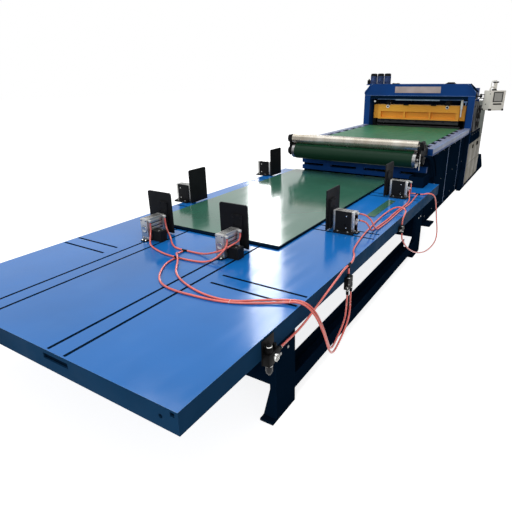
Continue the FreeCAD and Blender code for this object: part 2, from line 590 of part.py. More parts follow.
def roller(label, radius, face, reach, along, level):
    barrel = rod(label + "_barrel", "x", radius, face, (f"-({face}) / 2", along, level))
    shaft = rod(label + "_shaft", "x", "journal_radius", f"{reach} * 2", (f"-{reach}", along, level))
    return node(label, fuse(label + "_whole", [barrel, shaft]))


def tail_bearing():
    block = box("TailBlock",
                ("tail_block_wide", "tail_block_long", "rail_top - rail_high - tail_block_low"),
                ("tail_block_in", f"{TAIL_Y} - tail_block_long / 2", "tail_block_low"))
    bore = rod("TailBore", "x", "journal_radius + bearing_slack", "tail_block_wide * 3",
               ("tail_block_in - tail_block_wide", TAIL_Y, DRUM_Z))
    return cut("TailBearing", block, [bore])


def rails():
    notches = []
    for turn in range(int(SIZES["rail_notch_count"])):
        notches.append(box(f"RailNotch{turn}", ("rail_notch_deep * 2", "rail_notch", "rail_high * 2"),
                           ("rail_out - rail_wide - rail_notch_deep",
                            f"{RAIL_NEAR} + rail_notch + {turn} * rail_notch_pitch",
                            "rail_top - rail_high / 2")))
    bar = box("RailBar", ("rail_wide", "rail_long", "rail_high"),
              ("rail_out - rail_wide", RAIL_NEAR, "rail_top - rail_high"))
    journal = rod("RailRelief", "x", "tail_relief", "rail_wide * 3",
                  ("rail_out - rail_wide * 2", TAIL_Y, DRUM_Z))
    node("conveyor_rails", both_sides("Rails", [cut("Rail", bar, notches + [journal])]))


def drum_bearings():
    """Side plates that reach forward from the rails and carry drum and pinch roller."""
    out = "rail_out - rail_wide"
    outline = [
        (f"{RAIL_NEAR}", "rail_top - rail_high"),
        (f"{RAIL_NEAR}", "rail_top"),
        (f"{DRUM_Y} + bearing_radius * 2", f"{PINCH_Z} + bearing_radius"),
        (f"{DRUM_Y} - bearing_radius", f"{PINCH_Z} + bearing_radius"),
        (f"{DRUM_Y} - bearing_radius", f"{DRUM_Z} - bearing_radius"),
        (f"{DRUM_Y} + bearing_radius", f"{DRUM_Z} - bearing_radius"),
    ]
    plate = padded("BracketPlate", "YZ_Plane", outline, "bracket_thick", (out, "0", "0"))
    rims = []
    bores = []
    for name, level in (("Drum", DRUM_Z), ("Pinch", PINCH_Z)):
        rims.append(rod(name + "Bearing", "x", "hub_radius", "bearing_long",
                        (f"{out} + bracket_thick", DRUM_Y, level)))
        bores.append(rod(name + "Bore", "x", "journal_radius + bearing_slack", "bracket_thick * 6",
                         (f"{out} - bracket_thick", DRUM_Y, level)))
    body = fuse("BracketBody", [plate, *rims])
    node("drum_bearings", both_sides("DrumBearings", [cut("Bracket", body, bores), tail_bearing()]))


def deck():
    level = f"{BELT_TOP} - belt_thick - deck_gap - deck_thick"
    plate = middle_box("DeckPlate", ("belt_wide - deck_inset * 2",
                                     f"{TAIL_Y} - {DRUM_Y} - drum_radius * 2", "deck_thick"),
                       (f"{DRUM_Y} + drum_radius", level))
    bars = []
    for turn in range(int(SIZES["deck_bar_count"])):
        along = f"{RAIL_NEAR} + rail_long * ({turn} + 0.5) / (deck_bar_count + 0.5)"
        bars.append(middle_box(f"DeckBar{turn}",
                               ("(rail_out - rail_wide) * 2", "deck_bar_high", "deck_bar_high"),
                               (along, f"{level} - deck_bar_high")))
    node("belt_deck", fuse("BeltDeck", [plate, *bars]))


def front_beam():
    bar = middle_box("FrontBar",
                     ("(panel_out - panel_thick) * 2", "front_beam_thick", "front_beam_high"),
                     (f"{RAIL_NEAR} + belt_leg_back - front_beam_thick", "front_beam_low"))
    windows = []
    for turn in range(int(SIZES["window_count"])):
        across = f"-window_pitch * (window_count - 1) / 2 - window_wide / 2 + {turn} * window_pitch"
        windows.append(box(f"BeamWindow{turn}", ("window_wide", "front_beam_thick * 3", "window_high"),
                           (across, RAIL_NEAR, "front_beam_low + window_low")))
    node("conveyor_front_beam", cut("FrontBeam", bar, windows))


def conveyor_frame():
    """Closed sides: the first panel is swept back in a curve at its near end."""
    low = "panel_low"
    high = "rail_top - rail_high"
    near = f"{RAIL_NEAR} + belt_leg_back"
    curve = [(f"{near}", high)]
    for turn in range(1, SWEEP_STEPS):
        angle = turn * 90 / SWEEP_STEPS
        reach = round(math.sin(math.radians(angle)), 4)
        drop = round(1 - math.cos(math.radians(angle)), 4)
        curve.append((f"{near} + sweep_back * {reach}", f"{high} - sweep_drop * {drop}"))
    curve.append((f"{near} + panel_near", "sweep_end"))
    outline = curve + [(f"{near} + panel_near", low), (PORTAL, low), (PORTAL, high)]
    skin = padded("SidePanel", "YZ_Plane", outline, "panel_thick", ("panel_out - panel_thick", "0", "0"))
    posts = []
    for turn, share in enumerate(("first_post", "second_post", "third_post")):
        posts.append(box(f"Post{turn}", ("post_proud", "post_wide", f"{high} - {low}"),
                         ("panel_out", f"{RAIL_NEAR} + rail_long * {share}", low)))
    node("conveyor_side_panels", both_sides("SidePanels", [fuse("PanelWithPosts", [skin, *posts])]))
    post = box("BeltLegPost", ("belt_leg_wide", "belt_leg_deep", f"{high} - belt_foot_thick"),
               ("panel_out - panel_thick - belt_leg_wide", near, "belt_foot_thick"))
    foot = box("BeltLegFoot", ("belt_foot_wide", "belt_leg_deep", "belt_foot_thick"),
               ("panel_out - panel_thick - belt_leg_wide", near, "0"))
    skid = box("Skid", ("belt_leg_wide", f"{PORTAL} - ({near}) - belt_leg_deep", "skid_high"),
               ("panel_out - panel_thick - belt_leg_wide", f"{near} + belt_leg_deep", "0"))
    node("conveyor_legs", both_sides("BeltLegs", [fuse("BeltLeg", [post, foot, skid])]))


# Shear: two channel columns and a crown over a bed, with the blade beam between
def shear_frame():
    inner = "body_half - column_wide"
    outline = [
        (inner, PORTAL),
        ("body_half", PORTAL),
        ("body_half", f"{PORTAL} + column_plate"),
        (f"{inner} + column_plate", f"{PORTAL} + column_plate"),
        (f"{inner} + column_plate", f"{PORTAL} + column_deep - column_plate"),
        ("body_half", f"{PORTAL} + column_deep - column_plate"),
        ("body_half", f"{PORTAL} + column_deep"),
        (inner, f"{PORTAL} + column_deep"),
    ]
    column = padded("Column", "XY_Plane", outline, "crown_low - sole_thick", ("0", "0", "sole_thick"))
    node("shear_columns", both_sides("Columns", [column]))
    side = "crown_low + crown_side"
    crown = [
        ("-body_half", "crown_low"),
        ("body_half", "crown_low"),
        ("body_half", side),
        ("body_half - crown_corner", CROWN_TOP),
        ("-body_half + crown_corner", CROWN_TOP),
        ("-body_half", side),
    ]
    body = padded("CrownBody", "XZ_Plane", crown, "crown_deep", ("0", PORTAL, "0"), backwards=True)
    floor = "crown_low + crown_side - crown_step"
    past = "body_half + crown_plate"
    trough = [
        (f"-({past})", floor),
        ("-body_half", floor),
        ("-body_half + crown_corner", SHELF_LOW),
        ("body_half - crown_corner", SHELF_LOW),
        ("body_half", floor),
        (past, floor),
        (past, f"{CROWN_TOP} + crown_plate"),
        (f"-({past})", f"{CROWN_TOP} + crown_plate"),
    ]
    hollow = padded("CrownTrough", "XZ_Plane", trough, "crown_deep - crown_plate * 2",
                    ("0", f"{PORTAL} + crown_plate", "0"), backwards=True)
    node("shear_crown", cut("Crown", body, [hollow]))
    bed = middle_box("Bed", ("(body_half - column_wide) * 2", "bed_deep", "bed_high"),
                     (f"{BLADE_BACK} + blade_gap", "bed_top - bed_high"))
    node("shear_bed", bed)
    blade = middle_box("LowerBlade",
                       ("beam_half * 2 + blade_over * 2", "blade_thick", "lower_blade_high"),
                       (f"{BLADE_BACK} + blade_gap", "bed_top"))
    node("lower_blade", blade)
    belt_end = f"({TAIL_Y} + drum_radius + belt_thick + belt_slack)"
    exit_plate = middle_box("ExitPlate",
                            ("(body_half - column_wide) * 2", f"{BEAM_Y} - exit_gap * 2 - {belt_end}",
                             "exit_thick"),
                            (f"{belt_end} + exit_gap", "rail_top - exit_drop - exit_thick"))
    node("exit_plate", exit_plate)


def blade_beam():
    """The moving beam: a deep box with three open bays, a slide behind and two lifting eyes."""
    body = middle_box("BeamBody", ("beam_half * 2", "beam_deep", "beam_high"), (BEAM_Y, "beam_low"))
    bays = []
    for turn in (-1, 0, 1):
        bays.append(box(f"Bay{turn + 1}", ("bay_wide", "beam_deep - beam_floor + bay_proud", "bay_high"),
                        (f"{turn} * bay_pitch - bay_wide / 2", f"{BEAM_Y} - bay_proud",
                         "beam_low + bay_low")))
    slide = middle_box("BeamSlide", ("slide_half * 2", "slide_thick", "beam_high"),
                       (f"{BEAM_Y} + beam_deep", "beam_low"))
    node("blade_beam", cut("BladeBeam", fuse("BeamWhole", [body, slide]), bays))
    blade = middle_box("UpperBlade", ("beam_half * 2", "blade_thick", "blade_high"),
                       (BEAM_Y, "beam_low - blade_high"))
    node("upper_blade", blade)
    rods = []
    housings = []
    top = "beam_low + beam_high"
    for side in (-1, 1):
        across = f"{side} * jack_out"
        level = f"{BEAM_Y} + beam_deep / 2"
        rods.append(rod(f"JackRod{side + 1}", "z", "jack_rod", f"crown_low - ({top}) - jack_clear",
                        (across, level, top)))
        outer = rod(f"JackBody{side + 1}", "z", "jack_radius", "jack_drop",
                    (across, level, "crown_low - jack_drop"))
        bore = rod(f"JackBore{side + 1}", "z", "jack_rod + jack_slack", "jack_drop",
                   (across, level, "crown_low - jack_drop"))
        housings.append(cut(f"Jack{side + 1}", outer, [bore]))
    node("jack_rods", group("JackRods", rods))
    guide = box("Guide",
                ("guide_wide", "slide_thick + (guide_gap + guide_wall) * 2", "crown_low - bed_top"),
                ("body_half - column_wide - guide_wide",
                 f"{BEAM_Y} + beam_deep - guide_gap - guide_wall", "bed_top"))
    track = box("GuideTrack", ("guide_wide + slide_half", "slide_thick + guide_gap * 2", "crown_low"),
                ("-guide_wide + guide_gap", f"{BEAM_Y} + beam_deep - guide_gap", "bed_top - guide_cut"))
    grooved = cut("GuideCut", guide, [track])
    node("blade_guides", group("BladeGuides", [grooved, mirror(grooved), *housings]))


def shear_trim():
    lamp = box("Lamp", ("lamp_half * 2", "lamp_deep", "lamp_high"),
               ("-lamp_half", f"{PORTAL} + lamp_inset", "crown_low - lamp_high"))
    node("work_lamp", lamp)
    badge = middle_box("Badge", ("badge_wide", "badge_thick", "badge_high"),
                       (f"{PORTAL} - badge_thick", "crown_low + badge_low"))
    node("blank_nameplate", badge)
    back = f"{PORTAL} + column_deep"
    cover = box("Cover", ("cover_thick", "body_deep - column_deep", "cover_top - cover_low"),
                ("cover_out - cover_thick", back, "cover_low"))
    cabinet = box("Cabinet", ("cabinet_deep", "body_deep - column_deep", "cabinet_top - cabinet_low"),
                  ("cover_out - cabinet_deep", back, "cabinet_low"))
    node("side_covers", both_sides("Covers", [cover, cabinet]))
    lower = middle_box("HousingLow",
                       ("(cover_out - cabinet_deep) * 2", "body_deep - column_deep",
                        "housing_low_top - sole_thick"), (back, "sole_thick"))
    upper = middle_box("HousingHigh", ("(cover_out - cover_thick) * 2", "body_deep - column_deep",
                                       "housing_top - housing_low_top - housing_slot"),
                       (back, "housing_low_top + housing_slot"))
    node("rear_housing", group("RearHousing", [lower, upper]))
    inside = "body_half - column_wide + column_plate"
    middle = f"{PORTAL} + column_deep / 2"
    shaft = rod("DriveShaft", "z", "drive_shaft", "cover_top - cabinet_top",
                (f"{inside} + drive_wide", middle, "cabinet_top"))
    hub = rod("DriveHub", "x", "drive_radius", "drive_wide", (inside, middle, "cabinet_top + hub_rise"))
    node("side_linkages", both_sides("Linkages", [fuse("Linkage", [shaft, hub])]))
    sole = middle_box("Sole", ("body_half * 2", "body_deep", "sole_thick"), (PORTAL, "0"))
    toes = []
    front = [(PORTAL, "0"), (PORTAL, "toe_high"), (f"{PORTAL} - toe_crest", "toe_high"),
             (f"{PORTAL} - front_toe", "toe_thick"), (f"{PORTAL} - front_toe", "0")]
    rear = [(BACK, "0"), (f"{BACK} + rear_toe", "0"), (f"{BACK} + rear_toe", "toe_thick"),
            (f"{BACK} + rear_toe / 2", "toe_high"), (BACK, "toe_high")]
    for name, outline in (("FrontToe", front), ("RearToe", rear)):
        toes.append(padded(name, "YZ_Plane", outline, "toe_wide", ("body_half - toe_wide", "0", "0")))
    node("shear_base", fuse("ShearBase", [sole, *toes, *[mirror(toe) for toe in toes]]))


def crown_gear():
    shelf = box("MotorShelf", ("shelf_long", "shelf_deep", "shelf_thick"),
                ("-body_half - shelf_proud", f"{PORTAL} + shelf_back", SHELF_LOW))
    motors = []
    for turn in range(3):
        start = (f"-body_half + motor_first + {turn} * motor_pitch",
                 f"{PORTAL} + shelf_back + shelf_deep / 2", f"{SHELF_LOW} + shelf_thick")
        motors.append(rod(f"Motor{turn}", "z", "motor_radius", "motor_high", start))
        cap = (start[0], start[1], f"{SHELF_LOW} + shelf_thick + motor_high")
        motors.append(rod(f"MotorCap{turn}", "z", "motor_cap_radius", "motor_cap", cap))
    node("fan_motors", fuse("FanMotors", [shelf, *motors]))
    lug = box("Lug", ("lug_long", "crown_deep - crown_plate * 2", "lug_thick + crown_step"),
              ("lug_out - lug_long / 2", f"{PORTAL} + crown_plate", SHELF_LOW))
    node("lifting_lug", lug)


# Operator panel: a turned box on a pin beside the crown
def panel_arm(along):
    foot = box("ArmFoot", ("arm_plate", "arm_foot", "arm_foot"),
               ("body_half", f"{along} - arm_foot / 2", f"{ARM_Z} - arm_foot / 2"))
    bar = box("ArmBar", ("panel_pivot", "arm_thick", "arm_thick"),
              ("body_half", f"{along} - arm_thick / 2", f"{ARM_Z} - arm_thick / 2"))
    collar = rod("ArmCollar", "z", "collar_radius", "collar_high",
                 (PIVOT_X, along, f"{ARM_Z} - collar_high / 2"))
    bore = rod("ArmBore", "z", "pivot_radius + bearing_slack", "collar_high * 2",
               (PIVOT_X, along, f"{ARM_Z} - collar_high"))
    node("panel_arm", cut("PanelArm", fuse("PanelArmWhole", [foot, bar, collar]), [bore]))


def operator_panel():
    along = f"({PORTAL} + pivot_back)"
    centre = f"({PIVOT_X} + pivot_reach)"
    panel_arm(along)

    def turned(name, wide, deep, high, level):
        """A box on the panel's turned front corner."""
        across = f"{centre} - {wide} / 2 * cos(panel_turn) + panel_deep / 2 * sin(panel_turn)"
        back = f"{along} - {wide} / 2 * sin(panel_turn) - panel_deep / 2 * cos(panel_turn)"
        solid = box(name, (wide, deep, high), (across, back, level))
        bind(solid, "Placement.Rotation.Angle", "panel_turn")
        return solid

    body = turned("PanelBody", "panel_wide", "panel_deep", "panel_high", PANEL_LOW)
    pocket = turned("ScreenPocket", "screen_wide", "screen_sink", "screen_high",
                    f"{PANEL_LOW} + screen_rise")
    low_ear = f"{ARM_Z} - collar_high / 2 - pivot_gap - ear_thick"
    ears = []
    for name, level in (("TopEar", f"{ARM_Z} + collar_high / 2 + pivot_gap"), ("LowEar", low_ear)):
        ears.append(box(name, ("ear_long", "collar_radius * 2", "ear_thick"),
                        (f"{PIVOT_X} - collar_radius", f"{along} - collar_radius", level)))
    pin = rod("PanelPin", "z", "pivot_radius", "collar_high + (pivot_gap + ear_thick) * 2",
              (PIVOT_X, along, low_ear))
    knob = rod("PanelKnob", "z", "knob_radius", "knob_high",
               (f"{centre} - knob_radius", along, f"{PANEL_LOW} + panel_high"))
    node("operator_panel", cut("Panel", fuse("PanelWhole", [body, *ears, pin, knob]), [pocket]))


# Compressed air: filter unit and two valves on the table's side, fittings and hoses
def air_filter():
    along = f"({TABLE_FRONT} + filter_along)"
    line = f"({TABLE_SIDE} + filter_plate + air_line)"
    plate = box("FilterPlate", ("filter_plate", "filter_long", "table_high - top_thick - filter_low"),
                (TABLE_SIDE, f"{along} - filter_near", "filter_low"))
    body = box("FilterBody", ("filter_wide", "filter_long", "filter_high"),
               (f"{TABLE_SIDE} + filter_plate", f"{along} - filter_near", "filter_low"))
    bowl = rod("FilterBowl", "z", "bowl_radius", "bowl_drop", (line, along, "filter_low - bowl_drop"))
    tip = doc.addObject("Part::Cone", "BowlTip")
    bind(tip, "Radius1", "bowl_radius / 2")
    bind(tip, "Radius2", "bowl_radius")
    bind(tip, "Height", "bowl_tip")
    place(tip, (line, along, "filter_low - bowl_drop - bowl_tip"))
    top = "filter_low + filter_high"
    knob = rod("FilterKnob", "z", "filter_knob", "filter_knob_high", (line, along, top))
    second = f"{along} + filter_second"
    small_knob = rod("SmallKnob", "z", "small_knob", "small_knob_high", (line, second, top))
    gauge = rod("Gauge", "x", "gauge_radius", "gauge_long",
                (f"{TABLE_SIDE} + filter_plate + filter_wide", f"{along} + gauge_along",
                 "filter_low + gauge_rise"))
    outlet = rod("OutletPort", "y", "port_radius", "outlet_long",
                 (line, f"{along} + filter_long - filter_near", "filter_low + outlet_rise"))
    inlet = rod("InletPort", "y", "port_radius", "port_radius",
                (line, f"{along} - filter_near - port_radius", "filter_low + inlet_rise"))
    pieces = [plate, body, bowl, tip, knob, small_knob, gauge, outlet, inlet]
    node("air_filter_unit", fuse("AirFilter", pieces))


def air_valve(name, along, low, high, stem, ports):
    """A valve body on the table's side; each port is a stem over or under it."""
    centre = f"{TABLE_FRONT} + {along}"
    line = f"{TABLE_SIDE} + valve_port"
    parts = [
        box(name + "Body", ("valve_wide", "valve_long", high),
            (TABLE_SIDE, f"{centre} - valve_long / 2", low)),
        rod(name + "Silencer", "y", "silencer_radius", "silencer_long",
            (line, f"{centre} - valve_long / 2 - silencer_long", f"{low} + silencer_rise")),
    ]
    for turn, (offset, over) in enumerate(ports):
        start = f"{low} + {high}" if over else f"{low} - {stem}"
        parts.append(rod(f"{name}Stem{turn}", "z", "port_radius", stem,
                         (line, f"{centre} + {offset}", start)))
    return fuse(name, parts)


def air_valves():
    first = air_valve("FirstValve", "first_valve", "first_valve_low", "first_valve_high", "first_stem",
                      (("feed_offset", True), ("-out_offset", False), ("back_offset", False)))
    second = air_valve("SecondValve", "second_valve", "second_valve_low", "second_valve_high",
                       "second_stem", (("-second_feed", True), ("second_out", False)))
    node("air_valves", group("AirValves", [first, second]))
    top = "(first_valve_low + first_valve_high + first_stem)"
    node("valve_link", rod("ValveLink", "z", "hose_radius", f"link_top - {top}",
                           (f"{TABLE_SIDE} + valve_port",
                            f"{TABLE_FRONT} + first_valve + feed_offset", top)))


def laid(point):
    """A point of a hose as formulas that follow the table's front edge."""
    across, along, level = point
    return [str(across), f"{TABLE_FRONT} + ({along - HOSE_DATUM})", str(level)]


def tee(name, before, after, branch):
    """A tee between two hose ends; its branch leaves sideways or down."""
    run = "x" if before[1] == after[1] else "y"
    centre = [(one + other) / 2 for one, other in zip(before, after)]
    body = rod(name + "Run", run, "tee_radius", "tee_long", laid(before))
    low = laid(centre)
    low["xyz".index(branch)] += " - tee_long / 2"
    return fuse(name, [body, rod(name + "Branch", branch, "branch_radius", "tee_long / 2", low)])


def air_fittings():
    fittings = []
    middle = f"{CYLINDER_BACK} + cap_long / 2"
    for unit in (UNITS[0], UNITS[2]):
        for name, run in (("RearElbow", middle), ("FrontElbow", "-rod_gap - cap_long / 2 - front_port")):
            fittings.append(unit.box(name, (f"{run} - elbow_wide / 2", f"{run} + elbow_wide / 2"),
                                     ("stop_wide / 2", "stop_wide / 2 + elbow_long"),
                                     ("elbow_upper", "elbow_upper + elbow_high")))
    for turn, level in enumerate(("port_low", "port_high")):
        fittings.append(UNITS[3].rod(f"Port{turn}", "port_radius",
                                     (f"{CYLINDER_BACK} - port_long", CYLINDER_BACK), "0", level))
    half = "(elbow_wide / 2 - elbow_trim)"
    for name, across, level in (("UpElbow", "-elbow_split", "elbow_upper"),
                                ("LowElbow", "elbow_split", "elbow_lower")):
        fittings.append(UNITS[4].box(name, (f"{CYLINDER_BACK} - elbow_long", CYLINDER_BACK),
                                     (f"{across} - {half}", f"{across} + {half}"),
                                     (level, f"{level} + elbow_wide")))
    fittings += [
        tee("FrontTee", HOSES["hose_stop1_front"][-1], HOSES["hose_stop3_front"][0], "y"),
        tee("RearTee", HOSES["hose_stop1_rear"][-1], HOSES["hose_stop3_rear"][0], "y"),
        tee("FarTee", HOSES["hose_stop5_upper"][-1], HOSES["hose_loop"][0], "y"),
        tee("EdgeTee", HOSES["hose_main"][-1], HOSES["hose_long_run"][0], "z"),
    ]
    node("air_fittings", group("AirFittings", fittings))


def hose(label, points, shift):
    """A hose as straight runs joined by arcs, each as large as its two runs allow."""
    corners = [FreeCAD.Vector(across, along + shift, level) for across, along, level in points]
    edges = []
    radii = []
    start = corners[0]
    for before, corner, after in zip(corners, corners[1:], corners[2:]):
        reach = HOSE_SHARE * min((corner - before).Length, (after - corner).Length)
        ahead = (after - corner).normalize()
        back = (before - corner).normalize()
        half_turn = (math.pi - ahead.getAngle(back)) / 2
        radius = reach / math.tan(half_turn)
        inward = (ahead + back).normalize()
        middle = corner + inward * (radius / math.cos(half_turn) - radius)
        first = corner + back * reach
        last = corner + ahead * reach
        edges.append(Part.LineSegment(start, first).toShape())
        edges.append(Part.Arc(first, middle, last).toShape())
        radii.append(round(radius))
        start = last
    edges.append(Part.LineSegment(start, corners[-1]).toShape())
    path = Part.Wire(edges)
    size = float(sheet.get("hose_radius"))
    ring = Part.Wire(Part.makeCircle(size, corners[0], corners[1] - corners[0]))
    tube = doc.addObject("Part::Feature", label)
    tube.Shape = path.makePipeShell([ring], True, False)
    share = tube.Shape.Volume / (math.pi * size ** 2 * path.Length)
    print(label, "length", round(path.Length), "radii", min(radii), "volume share", round(share, 4))
    node(label, tube)


def air_hoses():
    """The hoses move along with the table's front edge."""
    doc.recompute()
    shift = doc.getObject("TopPlate").Placement.Base.y - HOSE_DATUM
    for label, points in HOSES.items():
        hose(label, points, shift)


table_top()
table_rim()
table_stand()
sheets()
table_tray()
stops()
belt_loop()
roller("front_drum", "drum_radius", "drum_face", "journal_reach", DRUM_Y, DRUM_Z)
roller("tail_drum", "drum_radius", "drum_face", "tail_reach", TAIL_Y, DRUM_Z)
roller("pinch_roller", "pinch_radius", "pinch_face", "journal_reach", DRUM_Y, PINCH_Z)
rails()
drum_bearings()
deck()
front_beam()
conveyor_frame()
shear_frame()
blade_beam()
shear_trim()
crown_gear()
operator_panel()
air_filter()
air_valves()
air_fittings()
air_hoses()
doc.recompute()

for thing in doc.Objects:
    if "Invalid" in thing.State or "Error" in thing.State:
        raise RuntimeError(f"{thing.Name} did not build: {thing.State}")
for label, thing in nodes.items():
    if thing.Shape.isNull() or not thing.Shape.isValid() or not thing.Shape.Solids:
        raise RuntimeError(f"{label} has no valid solid")

os.makedirs("parts", exist_ok=True)
for label, thing in nodes.items():
    thing.Shape.exportStep(f"parts/{label}.step")
    box_of = thing.Shape.BoundBox
    spans = (box_of.XMin, box_of.XMax, box_of.YMin, box_of.YMax, box_of.ZMin, box_of.ZMax)
    print(label, len(thing.Shape.Solids), round(thing.Shape.Volume / 1e6, 3),
          [round(span) for span in spans])
print(len(nodes), "nodes")
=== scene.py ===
import json
import math
import bmesh
import bpy
from mathutils import Matrix, Vector

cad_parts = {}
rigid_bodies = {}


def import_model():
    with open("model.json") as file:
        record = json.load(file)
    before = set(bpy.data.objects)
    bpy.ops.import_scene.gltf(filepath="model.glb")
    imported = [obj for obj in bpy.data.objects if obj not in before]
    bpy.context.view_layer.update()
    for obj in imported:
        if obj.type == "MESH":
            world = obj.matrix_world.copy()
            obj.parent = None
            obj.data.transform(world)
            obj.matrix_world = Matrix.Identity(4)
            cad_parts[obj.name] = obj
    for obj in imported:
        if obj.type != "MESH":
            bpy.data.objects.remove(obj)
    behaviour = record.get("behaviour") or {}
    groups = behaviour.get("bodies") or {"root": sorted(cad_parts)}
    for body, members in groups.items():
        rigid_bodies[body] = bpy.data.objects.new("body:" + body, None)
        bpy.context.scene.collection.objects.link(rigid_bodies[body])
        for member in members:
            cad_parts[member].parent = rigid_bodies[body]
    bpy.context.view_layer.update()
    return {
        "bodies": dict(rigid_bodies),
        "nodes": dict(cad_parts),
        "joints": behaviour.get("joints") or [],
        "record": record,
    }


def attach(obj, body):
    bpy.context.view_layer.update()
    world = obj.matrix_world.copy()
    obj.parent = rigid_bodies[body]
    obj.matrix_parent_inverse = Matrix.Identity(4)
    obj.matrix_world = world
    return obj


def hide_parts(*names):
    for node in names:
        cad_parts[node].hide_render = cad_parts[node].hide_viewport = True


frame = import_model()
NODES = frame["nodes"]

# Palette, as display values from 0 to 255
BLUE_TOP = (24, 112, 192)
BLUE_PALE = (80, 142, 206)
# Rubbed wear and painted edge highlights on the table top's edges
BLUE_WEAR_AND_HIGHLIGHT = (128, 176, 232)
ROYAL = (14, 60, 122)
NAVY = (24, 60, 92)
NAVY_DEEP = (8, 26, 44)
# Pale blue for the sheet sensor and for the painted highlights along the edges of the posts and the crown
EDGE_BLUE = (112, 142, 190)
RAIL_BLUE = (116, 128, 158)
ORANGE = (252, 168, 60)
BEIGE = (104, 99, 82)
GREY_GREEN = (118, 124, 118)
PANEL_WHITE = (224, 220, 210)
SHEET_GREEN = (58, 108, 90)
# Painted shade on the sheets' upright sides
SHEET_SIDE_SHADE = (6, 16, 16)
BELT_GREEN = (36, 98, 66)
# Painted shade on the belt's drum noses
BELT_NOSE_SHADE = (14, 46, 30)
BLACK = (26, 27, 29)
STEEL = (150, 150, 150)
ROLLER_LIGHT = (176, 172, 164)
ROLLER_DARK = (150, 143, 130)
ROLLER_STAIN = (122, 110, 90)
SILVER = (190, 190, 188)
HOSE_RED = (244, 106, 94)
RUBBER = (18, 18, 19)


def linear(colour):
    """A display colour as linear light, with full alpha."""
    shares = [value / 255 for value in colour]
    return [s / 12.92 if s <= 0.04045 else ((s + 0.055) / 1.055) ** 2.4 for s in shares] + [1.0]


def shaded(colour, factor):
    return tuple(min(255, value * factor) for value in colour)


def add_object(name, data):
    piece = bpy.data.objects.new(name, data)
    bpy.context.scene.collection.objects.link(piece)
    return piece


# Materials
class Look:
    """A node material made step by step on a Principled shader."""

    def __init__(self, name, roughness, metallic=0.0, coat=0.0, specular=0.5):
        self.material = bpy.data.materials.new(name)
        self.material.use_nodes = True
        self.tree = self.material.node_tree
        self.shader = self.tree.nodes["Principled BSDF"]
        settings = {"Roughness": roughness, "Metallic": metallic, "Coat Weight": coat,
                    "Coat Roughness": 0.05, "Specular IOR Level": specular}
        for socket, value in settings.items():
            self.shader.inputs[socket].default_value = value
        self.place = self.add("TexCoord")

    def add(self, kind):
        return self.tree.nodes.new("ShaderNode" + kind)

    def link(self, output, target):
        self.tree.links.new(output, target)

    def noise(self, scale, detail=4.0, stretch=(1, 1, 1)):
        """Noise on the object's own coordinates, stretched along an axis for brushed marks."""
        turn = self.add("Mapping")
        turn.inputs["Scale"].default_value = stretch
        self.link(self.place.outputs["Object"], turn.inputs["Vector"])
        noise = self.add("TexNoise")
        noise.inputs["Scale"].default_value = scale
        noise.inputs["Detail"].default_value = detail
        self.link(turn.outputs["Vector"], noise.inputs["Vector"])
        return noise.outputs["Fac"]

    def ramp(self, fac, low, high, first, last):
        """Maps fac from low..high to the colours first..last."""
        ramp = self.add("ValToRGB")
        for element, place, colour in zip(ramp.color_ramp.elements, (low, high), (first, last)):
            element.position = place
            element.color = colour
        self.link(fac, ramp.inputs["Fac"])
        return ramp.outputs["Color"]

    def shades(self, fac, low, high, colour, dark, light):
        """Maps fac from low..high to the shades dark..light of one colour."""
        return self.ramp(fac, low, high, linear(shaded(colour, dark)), linear(shaded(colour, light)))

    def grey(self, fac, low, high, first, last):
        return self.ramp(fac, low, high, (first, first, first, 1), (last, last, last, 1))

    def mix(self, fac, one, other):
        mix = self.add("Mix")
        mix.data_type = "RGBA"
        self.link(fac, mix.inputs["Factor"])
        self.feed(one, mix.inputs["A"])
        self.feed(other, mix.inputs["B"])
        return mix.outputs["Result"]

    def times(self, one, other):
        product = self.add("Math")
        product.operation = "MULTIPLY"
        self.feed(one, product.inputs[0])
        self.feed(other, product.inputs[1])
        return product.outputs["Value"]

    def upright(self, low=0.3, high=0.6):
        """1 on upright faces and 0 on flat ones."""
        normal = self.add("NewGeometry")
        split = self.add("SeparateXYZ")
        self.link(normal.outputs["Normal"], split.inputs["Vector"])
        return self.grey(self.times(split.outputs["Z"], split.outputs["Z"]), low, high, 1, 0)

    def feed(self, value, target):
        if isinstance(value, bpy.types.NodeSocket):
            self.link(value, target)
        else:
            target.default_value = value

    def edges(self, radius=0.004, low=0.02, high=0.35):
        """1 along sharp edges and 0 on flat faces, from a rounded normal."""
        rounded = self.add("Bevel")
        rounded.inputs["Radius"].default_value = radius
        flat = self.add("NewGeometry")
        dot = self.add("VectorMath")
        dot.operation = "DOT_PRODUCT"
        self.link(rounded.outputs["Normal"], dot.inputs[0])
        self.link(flat.outputs["Normal"], dot.inputs[1])
        spread = self.add("MapRange")
        spread.inputs["From Min"].default_value = 1 - low
        spread.inputs["From Max"].default_value = 1 - high
        self.link(dot.outputs["Value"], spread.inputs["Value"])
        return spread.outputs["Result"]

    def colour(self, value):
        self.feed(value, self.shader.inputs["Base Color"])

    def roughness(self, value):
        self.link(value, self.shader.inputs["Roughness"])

    def bump(self, height, strength, distance=0.001):
        bump = self.add("Bump")
        bump.inputs["Strength"].default_value = strength
        bump.inputs["Distance"].default_value = distance
        self.link(height, bump.inputs["Height"])
        self.link(bump.outputs["Normal"], self.shader.inputs["Normal"])


